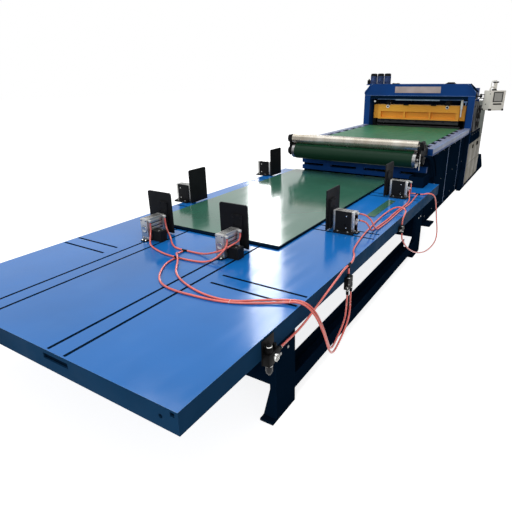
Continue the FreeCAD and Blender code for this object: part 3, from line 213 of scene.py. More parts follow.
def enamel(name, colour, roughness, specular, wear_and_highlight, wear_and_highlight_share=0.5, patch=1.6, vary=0.1):
    """Machine enamel: slow colour drift, orange peel, dusty patches, and lighter edges that are partly
    rubbed wear and partly painted edge highlights.
    """
    look = Look(name, roughness, specular=specular)
    base = look.shades(look.noise(patch, 5), 0.3, 0.7, colour, 1 - vary, 1 + vary)
    broken = look.grey(look.noise(38, 6), 0.42, 0.62, 0, wear_and_highlight_share)
    # Rubbed wear and painted edge highlights: the edges are mixed towards the lighter edge colour
    look.colour(look.mix(look.times(look.edges(), broken), base, linear(wear_and_highlight)))
    look.roughness(look.grey(look.noise(7, 6), 0.3, 0.75, roughness * 0.8, roughness * 1.3))
    look.bump(look.noise(420, 2), 0.06, 0.0004)
    return look.material


def metal(name, colour, roughness, stretch, vary=0.12, mark=90, bump=0.1):
    """Bare metal with brushed or turned marks along one axis."""
    look = Look(name, roughness, metallic=1.0)
    look.colour(look.shades(look.noise(5, 6), 0.3, 0.7, colour, 1 - vary, 1 + vary / 2))
    marks = look.noise(mark, 6, stretch)
    look.roughness(look.grey(marks, 0.3, 0.7, roughness * 0.7, roughness * 1.5))
    look.bump(marks, bump, 0.0003)
    return look.material


def moulded(name, colour, roughness, grain=700, strength=0.15, vary=0.12, specular=0.3):
    """Moulded plastic or rubber with a fine grain."""
    look = Look(name, roughness, specular=specular)
    look.colour(look.shades(look.noise(9, 4), 0.3, 0.7, colour, 1 - vary, 1 + vary))
    look.roughness(look.grey(look.noise(30, 4), 0.3, 0.7, roughness * 0.85, roughness * 1.2))
    look.bump(look.noise(grain, 3), strength, 0.0003)
    return look.material


def table_enamel():
    """The glossy table top: deep gloss with a slow wave, dull rubbed streaks along it, rubbed wear with
    painted highlights on its edges, and painted shade on its upright faces.
    """
    look = Look("table_top_enamel", 0.12, coat=0.05, specular=0.3)
    base = look.shades(look.noise(0.9, 4), 0.3, 0.72, BLUE_TOP, 0.94, 1.08)
    dust = look.grey(look.noise(3.2, 7), 0.55, 0.8, 0, 0.16)
    base = look.mix(dust, base, linear(BLUE_PALE))
    # Rubbed wear and painted highlights: the edges turn paler blue
    base = look.mix(look.times(look.edges(0.003), 0.8), base, linear(BLUE_WEAR_AND_HIGHLIGHT))
    # Painted shade: the upright faces, such as the slot walls and the sides, turn deep navy
    look.colour(look.mix(look.upright(), base, linear(NAVY_DEEP)))
    streak = look.noise(14, 5, (1, 0.12, 1))
    look.roughness(look.grey(streak, 0.35, 0.8, 0.09, 0.24))
    look.bump(look.noise(2.4, 2), 0.05, 0.004)
    return look.material


def sheet_enamel():
    """Prepainted sheet: even grey-green, high gloss, faint roll lines along its length, and painted shade on
    its upright sides.
    """
    look = Look("sheet_enamel", 0.13, coat=0.08, specular=0.42)
    base = look.shades(look.noise(1.2, 3), 0.3, 0.7, SHEET_GREEN, 0.9, 1.06)
    # Painted shade: the upright sides of the sheets turn near black
    look.colour(look.mix(look.upright(), base, linear(SHEET_SIDE_SHADE)))
    look.roughness(look.grey(look.noise(9, 4, (1, 0.05, 1)), 0.35, 0.75, 0.1, 0.2))
    look.bump(look.noise(1.8, 2), 0.06, 0.006)
    return look.material


def belt_rubber():
    """Belting: a fine woven print with dark scuffs along the run, and painted shade on its upright faces at
    the drum noses.
    """
    look = Look("belt_rubber", 0.46, specular=0.15)
    base = look.shades(look.noise(6, 6, (1, 0.2, 1)), 0.28, 0.72, BELT_GREEN, 0.88, 1.1)
    # Painted shade: faces that stand upright, at the drum noses, turn dark green
    look.colour(look.mix(look.upright(0.72, 0.95), base, linear(BELT_NOSE_SHADE)))
    look.roughness(look.grey(look.noise(12, 4), 0.3, 0.7, 0.42, 0.52))
    look.bump(look.noise(520, 2), 0.2, 0.0004)
    return look.material


def roller_steel():
    """The pinch roller: ground steel with warm stains in bands round it."""
    look = Look("roller_steel", 0.26, metallic=0.85)
    band = look.noise(7, 4, (1, 0.05, 0.05))
    base = look.ramp(band, 0.35, 0.7, linear(ROLLER_LIGHT), linear(ROLLER_DARK))
    stain = look.grey(look.noise(9, 5, (1, 0.4, 0.4)), 0.55, 0.8, 0, 0.45)
    look.colour(look.mix(stain, base, linear(ROLLER_STAIN)))
    look.roughness(look.grey(look.noise(20, 3, (1, 0.05, 0.05)), 0.3, 0.7, 0.24, 0.32))
    look.bump(look.noise(60, 2, (1, 0.02, 0.02)), 0.02, 0.0003)
    return look.material


# The enamels' edge colours are partly rubbed wear and partly painted edge highlights
MATERIALS = {
    "table_gloss": table_enamel(),
    "royal": enamel("royal_enamel", ROYAL, 0.4, 0.08, (70, 112, 176)),
    "navy": enamel("navy_enamel", NAVY, 0.55, 0.01, (40, 76, 122)),
    "deep": enamel("deep_navy_enamel", NAVY_DEEP, 0.6, 0.0, (34, 62, 98)),
    "rail": enamel("rail_enamel", RAIL_BLUE, 0.42, 0.2, (178, 184, 196), 0.9),
    "orange": enamel("orange_enamel", ORANGE, 0.38, 0.2, (246, 206, 130), 0.6),
    "beige": enamel("beige_enamel", BEIGE, 0.45, 0.12, (196, 192, 180)),
    "grey_green": enamel("grey_green_enamel", GREY_GREEN, 0.6, 0.05, (160, 166, 160)),
    "panel": enamel("panel_enamel", PANEL_WHITE, 0.42, 0.2, (232, 230, 224), patch=5, vary=0.04),
    "sheet": sheet_enamel(),
    "belt": belt_rubber(),
    "black": enamel("black_oxide", BLACK, 0.55, 0.06, (84, 86, 90), 0.7, patch=5, vary=0.2),
    "steel": metal("ground_steel", STEEL, 0.32, (0.05, 1, 1)),
    "dark_steel": metal("oiled_steel", (58, 58, 60), 0.42, (0.05, 1, 1)),
    "plate": metal("brushed_plate", (158, 146, 144), 0.4, (0.04, 1, 1)),
    "chrome": metal("hard_chrome", (205, 205, 202), 0.14, (1, 0.02, 0.02), 0.06, 60, 0.04),
    "roller": roller_steel(),
    "silver": metal("blasted_alloy", SILVER, 0.38, (1, 1, 1), 0.08, 500, 0.12),
    "lamp": moulded("lamp_diffuser", (178, 198, 224), 0.5, vary=0.03),
    "plastic": moulded("black_plastic", RUBBER, 0.45, specular=0.06),
    "hose": moulded("hose_plastic", HOSE_RED, 0.2, 200, 0.04, 0.1, 0.75),
    "white_plastic": moulded("white_plastic", (212, 210, 204), 0.35, vary=0.04),
    "smoke": moulded("smoked_bowl", (44, 44, 46), 0.2, vary=0.1, specular=0.2),
    "screen": moulded("screen_glass", (158, 156, 150), 0.12, vary=0.03, specular=0.4),
    "motor": enamel("motor_enamel", (58, 76, 118), 0.5, 0.12, (130, 150, 184), patch=8),
    "pale_edge": enamel("pale_edge_enamel", EDGE_BLUE, 0.4, 0.2, (200, 216, 236), patch=6),
}

NODE_LOOKS = {
    "table_gloss": ["table_top"],
    "navy": ["table_rim"],
    "deep": ["table_tray", "table_legs", "table_cross_members", "table_stretchers", "belt_deck",
             "conveyor_legs", "conveyor_side_panels", "shear_base", "shear_bed"],
    "royal": ["conveyor_front_beam", "shear_columns", "shear_crown", "fan_motors"],
    "rail": ["conveyor_rails"],
    "sheet": ["sheet_blanks"],
    "black": ["stop_brackets", "drum_bearings", "blade_guides", "side_linkages", "lifting_lug", "panel_arm"]
             + [f"stop_plate_{number}" for number in range(1, 7)],
    "silver": ["stop_cylinders"],
    "belt": ["belt"],
    "steel": ["front_drum", "tail_drum"],
    "dark_steel": ["lower_blade", "upper_blade", "exit_plate"],
    "chrome": ["jack_rods"],
    "roller": ["pinch_roller"],
    "orange": ["blade_beam"],
    "lamp": ["work_lamp"],
    "plate": ["blank_nameplate"],
    "grey_green": ["side_covers"],
    "beige": ["rear_housing"],
    "panel": ["operator_panel"],
    "plastic": ["air_filter_unit", "air_valves", "air_fittings"],
    "hose": ["valve_link"],
}
for look, names in NODE_LOOKS.items():
    for name in names:
        slots = NODES[name].data.materials
        slots.clear()
        slots.append(MATERIALS[look])

# Air hoses: length in metres, lay, and points in millimetres; a pair is a point at rest on the table
HOSE_WIDTH = 0.012
HOSE_REST = 557
HOSES = {
    "hose_stop1_rear": (0.498, "loose", (
        (-409, -5887, 692), (-409, -5887, 646), (-405, -5903, 596), (-387, -5929, 566), (-347, -5962),
        (-275, -5995), (-185, -6022), (-112, -6036), (-53, -6036))),
    "hose_stop1_front": (0.450, "loose", (
        (-409, -5746, 692), (-409, -5746, 651), (-394, -5752, 606), (-365, -5764, 576), (-329, -5786, 560),
        (-285, -5826), (-220, -5880), (-155, -5916), (-97, -5916))),
    "hose_stop3_front": (0.525, "loose", (
        (-53, -5916), (-5, -5916), (60, -5913, 558), (115, -5915, 568), (160, -5920, 584),
        (200, -5926, 600), (236, -5920, 614), (262, -5897, 627), (273, -5858, 637), (271, -5815, 637),
        (267, -5780, 636), (267, -5758, 647), (266, -5746, 668), (266, -5746, 692))),
    "hose_stop3_rear": (0.419, "loose", (
        (-9, -6036), (45, -6036), (110, -6027), (165, -6014), (212, -5996, 567), (245, -5972, 588),
        (263, -5945, 614), (268, -5914, 632), (267, -5897, 647), (266, -5887, 669), (266, -5887, 692))),
    "hose_tee_front": (2.203, "loose", (
        (-75, -5938), (-75, -5969), (-67, -5998, 565), (-48, -6024, 578), (-22, -6046, 585),
        (6, -6068, 580), (34, -6098, 565), (68, -6146), (124, -6212), (205, -6268), (315, -6316),
        (440, -6350), (560, -6355), (655, -6330), (735, -6272), (815, -6218), (890, -6194, 564),
        (952, -6186, 573), (999, -6178), (1031, -6163, 515), (1046, -6139, 455), (1052, -6108, 390),
        (1052, -6073, 322), (1050, -6040, 262), (1044, -6000, 212), (1032, -5940, 182), (1018, -5868, 176),
        (1006, -5790, 182), (998, -5718, 200), (990, -5662, 232), (983, -5634, 282), (978, -5617, 325),
        (978, -5617, 362))),
    "hose_tee_rear": (2.266, "loose", (
        (-31, -6058), (-31, -6112), (0, -6190), (60, -6280), (120, -6342), (200, -6385), (310, -6398),
        (430, -6390), (545, -6380), (655, -6349), (748, -6300), (830, -6249), (898, -6214, 563),
        (955, -6203, 573), (1003, -6196, 556), (1038, -6184, 512), (1057, -6162, 450), (1066, -6134, 383),
        (1069, -6102, 312), (1066, -6066, 248), (1060, -6018, 196), (1048, -5950, 164), (1034, -5872, 156),
        (1022, -5792, 160), (1012, -5712, 176), (1003, -5640, 206), (992, -5592, 248), (982, -5570, 300),
        (978, -5560, 335), (978, -5560, 362))),
    "hose_main": (0.808, "hanging", (
        (981, -6426, 448), (981, -6372, 448), (975, -6274, 439), (973, -6165, 447), (972, -6062, 468),
        (975, -5955, 498), (978, -5850, 526), (980, -5755, 548), (978, -5680, 562), (978, -5632, 562))),
    "hose_long_run": (1.654, "loose", (
        (978, -5588, 562), (978, -5552, 562), (964, -5498, 574), (943, -5446, 572), (917, -5396, 560),
        (893, -5320), (875, -5211), (856, -5080), (842, -4940), (830, -4790), (820, -4640), (814, -4500),
        (817, -4400, 559), (834, -4325, 571), (868, -4284, 583), (910, -4281, 583), (943, -4308, 578),
        (964, -4356, 579), (975, -4404, 580), (979, -4446, 572), (978, -4473, 551), (978, -4490, 526),
        (978, -4490, 500))),
    "hose_stop4_upper": (1.471, "loose", (
        (880, -3662), (880, -3706), (888, -3785), (896, -3885), (909, -4009), (904, -4150), (896, -4290),
        (899, -4430), (904, -4570), (903, -4700), (899, -4810), (898, -4880, 560), (900, -4930, 581),
        (898, -4966, 616), (890, -4988, 655), (868, -5001, 684), (838, -5004, 700), (806, -5004, 700))),
    "hose_stop4_lower": (1.336, "loose", (
        (841, -3822, 640), (841, -3822, 608), (846, -3836, 577), (858, -3866, 560), (872, -3925),
        (884, -4010), (884, -4140), (878, -4280), (879, -4430), (885, -4570), (882, -4700), (876, -4820),
        (874, -4886), (877, -4936, 564), (879, -4970, 580), (876, -4992, 607), (862, -5001, 634),
        (836, -5004, 650), (806, -5004, 650))),
    "hose_stop5_upper": (0.303, "loose", (
        (841, -3790, 692), (841, -3790, 655), (840, -3775, 614), (829, -3758, 583), (811, -3742, 563),
        (790, -3715), (787, -3684), (801, -3656), (827, -3640), (858, -3640))),
    "hose_loop": (1.932, "hanging", (
        (902, -3640), (928, -3640), (955, -3641, 569), (984, -3637, 574), (1009, -3622, 568),
        (1026, -3597, 547), (1033, -3562, 510), (1034, -3510, 445), (1034, -3450, 352), (1036, -3396, 250),
        (1044, -3364, 165), (1051, -3366, 98), (1055, -3404, 50), (1057, -3470, 30), (1056, -3580, 26),
        (1052, -3710, 32), (1044, -3860, 54), (1030, -4010, 94), (1014, -4150, 148), (1000, -4270, 212),
        (990, -4365, 276), (983, -4426, 332), (978, -4470, 380), (978, -4470, 422))),
}


def air_hose(node, points):
    """One hose on a smooth spline through the listed points, given in millimetres."""
    curve = bpy.data.curves.new(node + "_line", "CURVE")
    curve.dimensions = "3D"
    curve.bevel_depth = HOSE_WIDTH / 2
    curve.bevel_resolution = 4
    curve.resolution_u = 8
    curve.use_fill_caps = True
    spline = curve.splines.new("NURBS")
    spline.points.add(len(points) - 1)
    for target, point in zip(spline.points, points):
        target.co = [value / 1000 for value in point] + [1.0]
    spline.order_u = 3
    spline.use_endpoint_u = True
    piece = add_object(node + "_tube", curve)
    curve.materials.append(MATERIALS["hose"])
    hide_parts(node)
    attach(piece, "root")


for hose_name, (hose_length, hose_lay, hose_points) in HOSES.items():
    full_points = [point if len(point) == 3 else (*point, HOSE_REST) for point in hose_points]
    air_hose(hose_name, full_points)

# Detail pieces, in millimetres
MILLIMETRES = Matrix.Scale(0.001, 4)
PLUS_X = (1, 0, 0)
PLUS_Y = (0, 1, 0)
PLUS_Z = (0, 0, 1)
MINUS_X = (-1, 0, 0)
MINUS_Y = (0, -1, 0)
MINUS_Z = (0, 0, -1)


def circle(segments):
    """Directions round a circle, as pairs of cosine and sine."""
    angles = [2 * math.pi * step / segments for step in range(segments)]
    return [(math.cos(angle), math.sin(angle)) for angle in angles]


def skin(part, rings):
    """Joins rings of vertices into a tube with closed ends."""
    count = len(rings[0])
    for one, other in zip(rings, rings[1:]):
        for step in range(count):
            after = (step + 1) % count
            part.faces.new((one[step], one[after], other[after], other[step]))
    part.faces.new(rings[0])
    part.faces.new(rings[-1])


def local_frame(origin, run, across, up=PLUS_Z):
    """Local millimetres to row metres, with the first axis along run and the second along across."""
    columns = Matrix((run, across, up)).transposed().to_4x4()
    return MILLIMETRES @ Matrix.Translation(origin) @ columns


class Kit:
    """Bevelled boxes, turned parts, plates and bent rods of one finish, joined in one mesh."""

    def __init__(self, name, look, body="root", frame=MILLIMETRES):
        self.name = name
        self.look = look
        self.body = body
        self.frame = frame
        self.mesh = bmesh.new()

    def take(self, part):
        part.transform(self.frame)
        scratch = bpy.data.meshes.new("scratch")
        part.to_mesh(scratch)
        part.free()
        self.mesh.from_mesh(scratch)
        bpy.data.meshes.remove(scratch)

    def box(self, low, high, bevel=1.0):
        part = bmesh.new()
        bmesh.ops.create_cube(part, size=1.0)
        for vert in part.verts:
            for axis in range(3):
                vert.co[axis] = high[axis] if vert.co[axis] > 0 else low[axis]
        bmesh.ops.bevel(part, geom=part.edges[:], offset=bevel, segments=2, profile=0.6, affect="EDGES")
        self.take(part)

    def pair(self, low, high, bevel=1.0, axis=0):
        """A box and its mirror image across the middle plane of one axis."""
        for side in (-1, 1):
            one = list(low)
            other = list(high)
            one[axis], other[axis] = sorted((side * low[axis], side * high[axis]))
            self.box(one, other, bevel)

    def turned(self, start, axis, profile, segments=24):
        """A part turned about an axis; the profile is pairs of distance along it and radius."""
        part = bmesh.new()
        turn = Vector(axis).to_track_quat("Z", "Y").to_matrix().to_4x4()
        rings = []
        for along, radius in profile:
            points = [(radius * cos, radius * sin, along) for cos, sin in circle(segments)]
            rings.append([part.verts.new(point) for point in points])
        skin(part, rings)
        part.transform(Matrix.Translation(start) @ turn)
        self.take(part)

    def bolt(self, start, axis, radius=6, height=5):
        """A socket-head screw: a head with a pocket."""
        rim = ((0, radius), (height * 0.85, radius), (height, radius * 0.9))
        pocket = ((height, radius * 0.5), (height * 0.45, radius * 0.5), (height * 0.45, 0.01))
        self.turned(start, axis, rim + pocket, 12)

    def hexagon(self, start, axis, radius=8, height=6):
        """A hexagon head on its washer."""
        self.turned(start, axis, ((0, radius * 1.35), (1.5, radius * 1.35)), 20)
        self.turned(start, axis, ((1.5, radius), (height * 0.85, radius), (height, radius * 0.86)), 6)

    def plate(self, outline, plane, low, high):
        """A flat outline seen from the front or the side, as thick as low to high."""
        part = bmesh.new()
        rings = []
        for depth in (low, high):
            points = [(one, depth, two) if plane == "xz" else (depth, one, two) for one, two in outline]
            rings.append([part.verts.new(point) for point in points])
        skin(part, rings)
        self.take(part)

    def plate_pair(self, outline, low, high):
        """A flat outline seen from the front, and its mirror image."""
        for side in (-1, 1):
            self.plate([(side * across, level) for across, level in outline], "xz", low, high)

    def bent(self, points, radius, segments=10, steps=8):
        """A round rod along a smooth line through control points."""
        line = [Vector(point) for point in points]
        smooth = [line[0]]
        for before, middle, after in zip(line, line[1:], line[2:]):
            start = (before + middle) / 2 if before is not line[0] else before
            end = (middle + after) / 2 if after is not line[-1] else after
            for step in range(1, steps + 1):
                share = step / steps
                smooth.append(start.lerp(middle, share).lerp(middle.lerp(end, share), share))
        part = bmesh.new()
        rings = []
        side = None
        for turn, point in enumerate(smooth):
            ahead = (smooth[min(turn + 1, len(smooth) - 1)] - smooth[max(turn - 1, 0)]).normalized()
            side = ahead.orthogonal() if side is None else side - ahead * side.dot(ahead)
            side.normalize()
            other = ahead.cross(side)
            points = [point + (side * cos + other * sin) * radius for cos, sin in circle(segments)]
            rings.append([part.verts.new(place) for place in points])
        skin(part, rings)
        self.take(part)

    def make(self, *replaced):
        bmesh.ops.recalc_face_normals(self.mesh, faces=self.mesh.faces[:])
        data = bpy.data.meshes.new(self.name)
        for face in self.mesh.faces:
            face.smooth = True
        self.mesh.to_mesh(data)
        self.mesh.free()
        data.set_sharp_from_angle(angle=math.radians(35))
        data.materials.append(MATERIALS[self.look])
        piece = add_object(self.name, data)
        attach(piece, self.body)
        if replaced:
            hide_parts(*replaced)


def set_frame(frame, kits):
    for kit in kits:
        kit.frame = frame


def make_all(kits, *replaced):
    for kit in kits:
        kit.make(*replaced)


# Stops: origin, run and across of each, and whether its bracket is the tall kind
TABLE_TOP = 550
STOPS = (
    ("stop_1", (-460, -5697, TABLE_TOP), PLUS_Y, PLUS_X, False),
    ("stop_2", (-850, -4912, TABLE_TOP), PLUS_X, MINUS_Y, True),
    ("stop_3", (215, -5697, TABLE_TOP), PLUS_Y, PLUS_X, False),
    ("stop_4", (574, -5004, TABLE_TOP), MINUS_X, MINUS_Y, True),
    ("stop_5", (620, -3806, TABLE_TOP), MINUS_X, MINUS_Y, True),
    ("stop_6", (-850, -3530, TABLE_TOP), PLUS_X, MINUS_Y, True),
)

# A stop's cylinder, which lies along the stop's run from BACK to NOSE between LOW and TOP
BACK = -203
NOSE = -33
CAP = 26
BARREL_BACK = BACK + CAP
BARREL_NOSE = NOSE - CAP
HALF = 33
LOW = 10
TOP = 162
ROD_LEVEL = 86
PAD_BACK = -12

ribs = Kit("stop_cylinder_ribs", "silver")
# Painted shade: black strips in the grooves between the ribs, and black discs and rings in the screw pockets
# and round the back boss
recess_shade = Kit("stop_cylinder_recess_shade", "plastic")
shiny = Kit("stop_screws", "chrome")
feet = Kit("stop_feet", "black")
for body, origin, run, across, tall in STOPS:
    spot = local_frame(origin, run, across)
    set_frame(spot, (ribs, recess_shade, shiny, feet))
    for rib in (-26, -13, 0, 13, 26):
        ribs.box((BARREL_BACK, rib - 4, TOP - 2.5), (BARREL_NOSE, rib + 4, TOP + 0.5), 1.2)
    # Painted shade in the grooves on the top and the sides
    for groove in (-19.5, -6.5, 6.5, 19.5):
        recess_shade.box((BARREL_BACK, groove - 2.4, TOP - 3), (BARREL_NOSE, groove + 2.4, TOP + 0.7), 0.3)
    for level in (34, 62, 86, 110, 138):
        ribs.pair((BARREL_BACK, HALF - 2.5, level - 9), (BARREL_NOSE, HALF + 0.5, level + 9), 1.2, 1)
    for level in (48, 74, 98, 124):
        recess_shade.pair((BARREL_BACK, HALF - 2, level - 2), (BARREL_NOSE, HALF + 0.7, level + 2), 0.3, 1)
    for low, high in ((BACK, BARREL_BACK), (BARREL_NOSE, NOSE)):
        ribs.box((low, -HALF - 0.6, LOW), (high, HALF + 0.6, TOP + 0.6), 2.5)
    for side in (-1, 1):
        for level in (LOW + 12, TOP - 12):
            shiny.bolt((BACK, side * 22, level), MINUS_X, 6.5, 4)
            recess_shade.turned((BACK - 1.9, side * 22, level), MINUS_X, ((0, 3.1), (0.3, 3.1)), 6)
    disc = ((0, 25), (2.5, 25), (3.5, 23.5), (3.5, 19), (2.6, 17.5), (2.6, 0.01))
    ribs.turned((BACK, 0, ROD_LEVEL), MINUS_X, disc, 36)
    recess_shade.turned((BACK, 0, ROD_LEVEL), MINUS_X, ((0, 27.5), (0.5, 27.5), (0.5, 25.2)), 36)
    feet.box((BACK - 24, -26, 0), (BACK + 2, 26, 9), 1.5)
    for side in (-1, 1):
        shiny.hexagon((BACK - 13, side * 15, 9), PLUS_Z, 6.5, 7)
    if tall:
        for along in (BACK + 40, BACK + 120):
            shiny.hexagon((along, HALF + 27, 14), PLUS_Z, 6.5, 7)
        recess_shade.turned((BACK + 70, HALF + 10, 60), PLUS_Y, ((0, 9), (0.6, 9), (0.6, 7)), 20)
        for level in (40, 130):
            shiny.bolt((BACK + 60, HALF + 10, level), PLUS_Y, 5, 4)
    else:
        for along in (BACK + 45, BACK + 78):
            shiny.bolt((along, HALF + 62, 76), PLUS_Z)
    pad = Kit(body + "_screws", "black", body, spot)
    for side in (-1, 1):
        for level in (172, 226):
            pad.bolt((PAD_BACK, side * 28, level), MINUS_X, 5.5, 4)
    pad.box((PAD_BACK - 3, -40, 236), (PAD_BACK + 2, 40, 240), 0.8)
    pad.make()
make_all((ribs, recess_shade, shiny, feet))

# Air fittings: elbows and straight ports with release rings, and black tees
white = Kit("fitting_bodies", "white_plastic")
threads = Kit("fitting_threads", "silver")
sleeves = Kit("fitting_rings", "plastic")
FITTINGS = (white, threads, sleeves)


def push_in(centre, axis):
    """The socket a hose pushes into, from the fitting's middle out to the hose end."""
    white.turned(centre, axis, ((0, 8.4), (9, 8.4), (11, 7.8), (11.5, 6.6)))
    sleeves.turned([c + a * 10.5 for c, a in zip(centre, axis)], axis, ((0, 7), (3, 7.6), (4, 7.2)))


for stop in (STOPS[0], STOPS[2]):
    set_frame(local_frame(*stop[1:4]), FITTINGS)
    for along in (BACK + CAP / 2, NOSE - CAP / 2 - 3):
        threads.turned((along, HALF, 152), PLUS_Y, ((0, 9), (6, 9), (6, 7), (9, 7)), 6)
        white.turned((along, HALF + 8, 152), PLUS_Y, ((0, 8.2), (15, 8.2), (18, 6.5), (19, 3)))
        push_in((along, HALF + 18, 153), MINUS_Z)
set_frame(local_frame(*STOPS[3][1:4]), FITTINGS)
for level in (100, 150):
    threads.turned((BACK, 0, level), MINUS_X, ((0, 10), (8, 10), (8, 7.5), (12, 7.5)), 6)
    push_in((BACK - 12, 0, level), MINUS_X)
set_frame(local_frame(*STOPS[4][1:4]), FITTINGS)
for across, level in ((-16, 151), (16, 99)):
    threads.turned((BACK, across, level), MINUS_X, ((0, 9), (7, 9), (7, 7), (9, 7)), 6)
    white.turned((BACK - 8, across, level), MINUS_X, ((0, 8), (14, 8), (17, 6.5), (18, 3)))
    push_in((BACK - 18, across, level + 1), MINUS_Z)
set_frame(MILLIMETRES, FITTINGS)
TEES = (
    ((-75, -5916, 557), PLUS_X, MINUS_Y), ((-31, -6036, 557), PLUS_X, MINUS_Y),
    ((880, -3640, 557), PLUS_X, MINUS_Y), ((978, -5610, 562), PLUS_Y, MINUS_Z),
)
for centre, run, branch in TEES:
    for axis in (run, [-value for value in run], branch):
        sleeves.turned(centre, axis, ((0, 6.6), (12, 6.6), (13, 6.9), (20, 6.9), (21, 6.4), (22, 6.4)))
make_all(FITTINGS, "air_fittings")

# Cable ties round the pair of hoses
TIE_WIDE = 16
TIE_HIGH = 8
ties = Kit("hose_ties", "white_plastic")
for (across, along, level), lean in (((628, -6346, 557), 0.6), ((905, -6203, 565), 0.5)):
    loop = []
    for cos, sin in circle(12) + circle(12)[:1]:
        reach = TIE_WIDE * cos
        loop.append((across + reach * math.sin(lean) * -0.4, along + reach, level + TIE_HIGH * sin))
    ties.bent(loop, 1.4, 6, 3)
ties.make()

# Filter unit on the table's side, measured along the table from its bowl
FILTER_SPOT = local_frame((0, -6532, 0), PLUS_X, PLUS_Y)
FILTER_LINE = 981
KNURL = 17
GAUGE_MIDDLE = 25
GAUGE_LEVEL = 446
housing = Kit("filter_body", "plastic", frame=FILTER_SPOT)
housing.box((957, -25, 412), (962, 75, 540))
housing.box((962, -24, 414), (999, 24, 478), 4)
housing.box((964, 28, 418), (997, 74, 474), 4)
housing.box((966, 22, 436), (995, 30, 462), 2)
housing.turned((FILTER_LINE, 0, 478), PLUS_Z, ((0, 14), (6, 14), (6, 17), (28, 17), (32, 15.5), (38, 14)))
for cos, sin in circle(18):
    across = FILTER_LINE + KNURL * cos
    along = KNURL * sin
    housing.box((across - 1, along - 1, 486), (across + 1, along + 1, 505), 0.4)
housing.turned((FILTER_LINE, 50, 474), PLUS_Z, ((0, 7), (12, 7), (12, 9), (24, 9), (26, 7.5)))
housing.turned((FILTER_LINE, 74, 448), PLUS_Y, ((0, 12), (10, 12), (10, 9), (31, 9), (32, 7)), 16)
bowl = Kit("filter_bowl", "smoke", frame=FILTER_SPOT)
bowl.turned((FILTER_LINE, 0, 412), MINUS_Z, ((0, 17.5), (30, 17.5), (42, 13), (50, 7), (54, 6), (54, 4)))
collar = Kit("filter_metal", "chrome", frame=FILTER_SPOT)
collar.turned((FILTER_LINE, 0, 413), MINUS_Z, ((0, 18.5), (3, 18.5), (3.5, 18)))
collar.turned((FILTER_LINE, 0, 511), PLUS_Z, ((0, 16.4), (2.5, 16.4), (3, 15.5)))
collar.turned((997, GAUGE_MIDDLE, GAUGE_LEVEL), PLUS_X,
              ((0, 19), (12, 19), (14.5, 18), (14.5, 16), (12.5, 15.5)), 32)
collar.turned((FILTER_LINE, 100, 448), PLUS_Y, ((0, 10), (5, 10)), 6)
dial = Kit("filter_gauge_face", "white_plastic", frame=FILTER_SPOT)
dial.turned((1009.4, GAUGE_MIDDLE, GAUGE_LEVEL), PLUS_X, ((0, 15.8), (0.6, 15.8)), 32)
marks = Kit("filter_gauge_marks", "plastic", frame=FILTER_SPOT)
for step in range(11):
    angle = math.radians(-45 + 27 * step)
    centre = (1010.2, GAUGE_MIDDLE + 12.5 * math.cos(angle), GAUGE_LEVEL + 12.5 * math.sin(angle))
    marks.turned(centre, PLUS_X, ((0, 0.8), (0.3, 0.8)), 8)
marks.bent(((1010.4, 25, 446), (1010.4, 22, 450), (1010.4, 16, 454)), 0.7, 6, 2)
make_all((housing, bowl, collar, dial, marks), "air_filter_unit")

# Valves on the table's side: collars, silencers and screws
VALVE_LINE = 978
collars = Kit("valve_collars", "silver")
covers = Kit("valve_covers", "plastic")
for centre, low, high, ports in ((-5590, 395, 470, ((-20, True), (-27, False), (30, False))),
                                 (-4482, 440, 482, ((-8, True), (12, False)))):
    for offset, over in ports:
        along = centre + offset
        level = high if over else low
        axis = PLUS_Z if over else MINUS_Z
        collars.turned((VALVE_LINE, along, level), axis, ((0, 11), (7, 11), (7, 9.4), (9, 9.4)), 6)
        covers.turned((VALVE_LINE, along, level + axis[2] * 10), axis, ((0, 9.6), (7, 9.6), (8, 8.4)))
    silencer = ((0, 9), (4, 9), (4, 8.4), (13, 8.4), (14, 6))
    collars.turned((VALVE_LINE, centre - 38, low + 16), MINUS_Y, silencer)
    covers.box((957.5, centre - 39, low + 4), (986, centre + 39, low + 18), 2)
    covers.box((957.5, centre - 36, high - 14), (986.5, centre + 36, high + 1), 3)
    for side in (-1, 1):
        collars.bolt((985, centre + side * 28, (low + high) / 2), PLUS_X, 4, 2.5)
make_all((collars, covers))

# Table: bolts on the sides of its legs, and painted shade: dark blocks filling the slots and the openings
# under the front edge
TABLE_FRONT = -7082
SLOT_HALF = 8.5
SLOT_PITCH = 56
SLOT_SHADE_LOW = 524
SLOT_SHADE_TOP = 550.3
anchors = Kit("table_anchors", "steel")
for side in (-1, 1):
    for along in (-6392, -6320, -3850, -3780):
        anchors.turned((side * 957, along, 380), (side, 0, 0), ((0, 9), (2, 9), (4, 6)), 6)
anchors.make()
# Painted shade: dark blocks fill the slots
slot_shade = Kit("slot_painted_shade", "deep")
for side in (-SLOT_PITCH, SLOT_PITCH):
    for lane in (-398 + side, 255 + side):
        slot_shade.box((lane - SLOT_HALF, TABLE_FRONT + 9, SLOT_SHADE_LOW),
                   (lane + SLOT_HALF, TABLE_FRONT + 2216, SLOT_SHADE_TOP), 0.1)
    for row in (930, 2066, 3262):
        along = TABLE_FRONT + row + side
        for low, high in ((-944, -530), (386, 944)):
            slot_shade.box((low, along - SLOT_HALF, SLOT_SHADE_LOW), (high, along + SLOT_HALF, SLOT_SHADE_TOP), 0.1)
# Painted shade in the notch and the hole under the front edge
slot_shade.box((160, TABLE_FRONT + 10, 470), (350, TABLE_FRONT + 40, 523))
slot_shade.box((840, TABLE_FRONT + 10, 454), (946, TABLE_FRONT + 24, 541))
slot_shade.make()

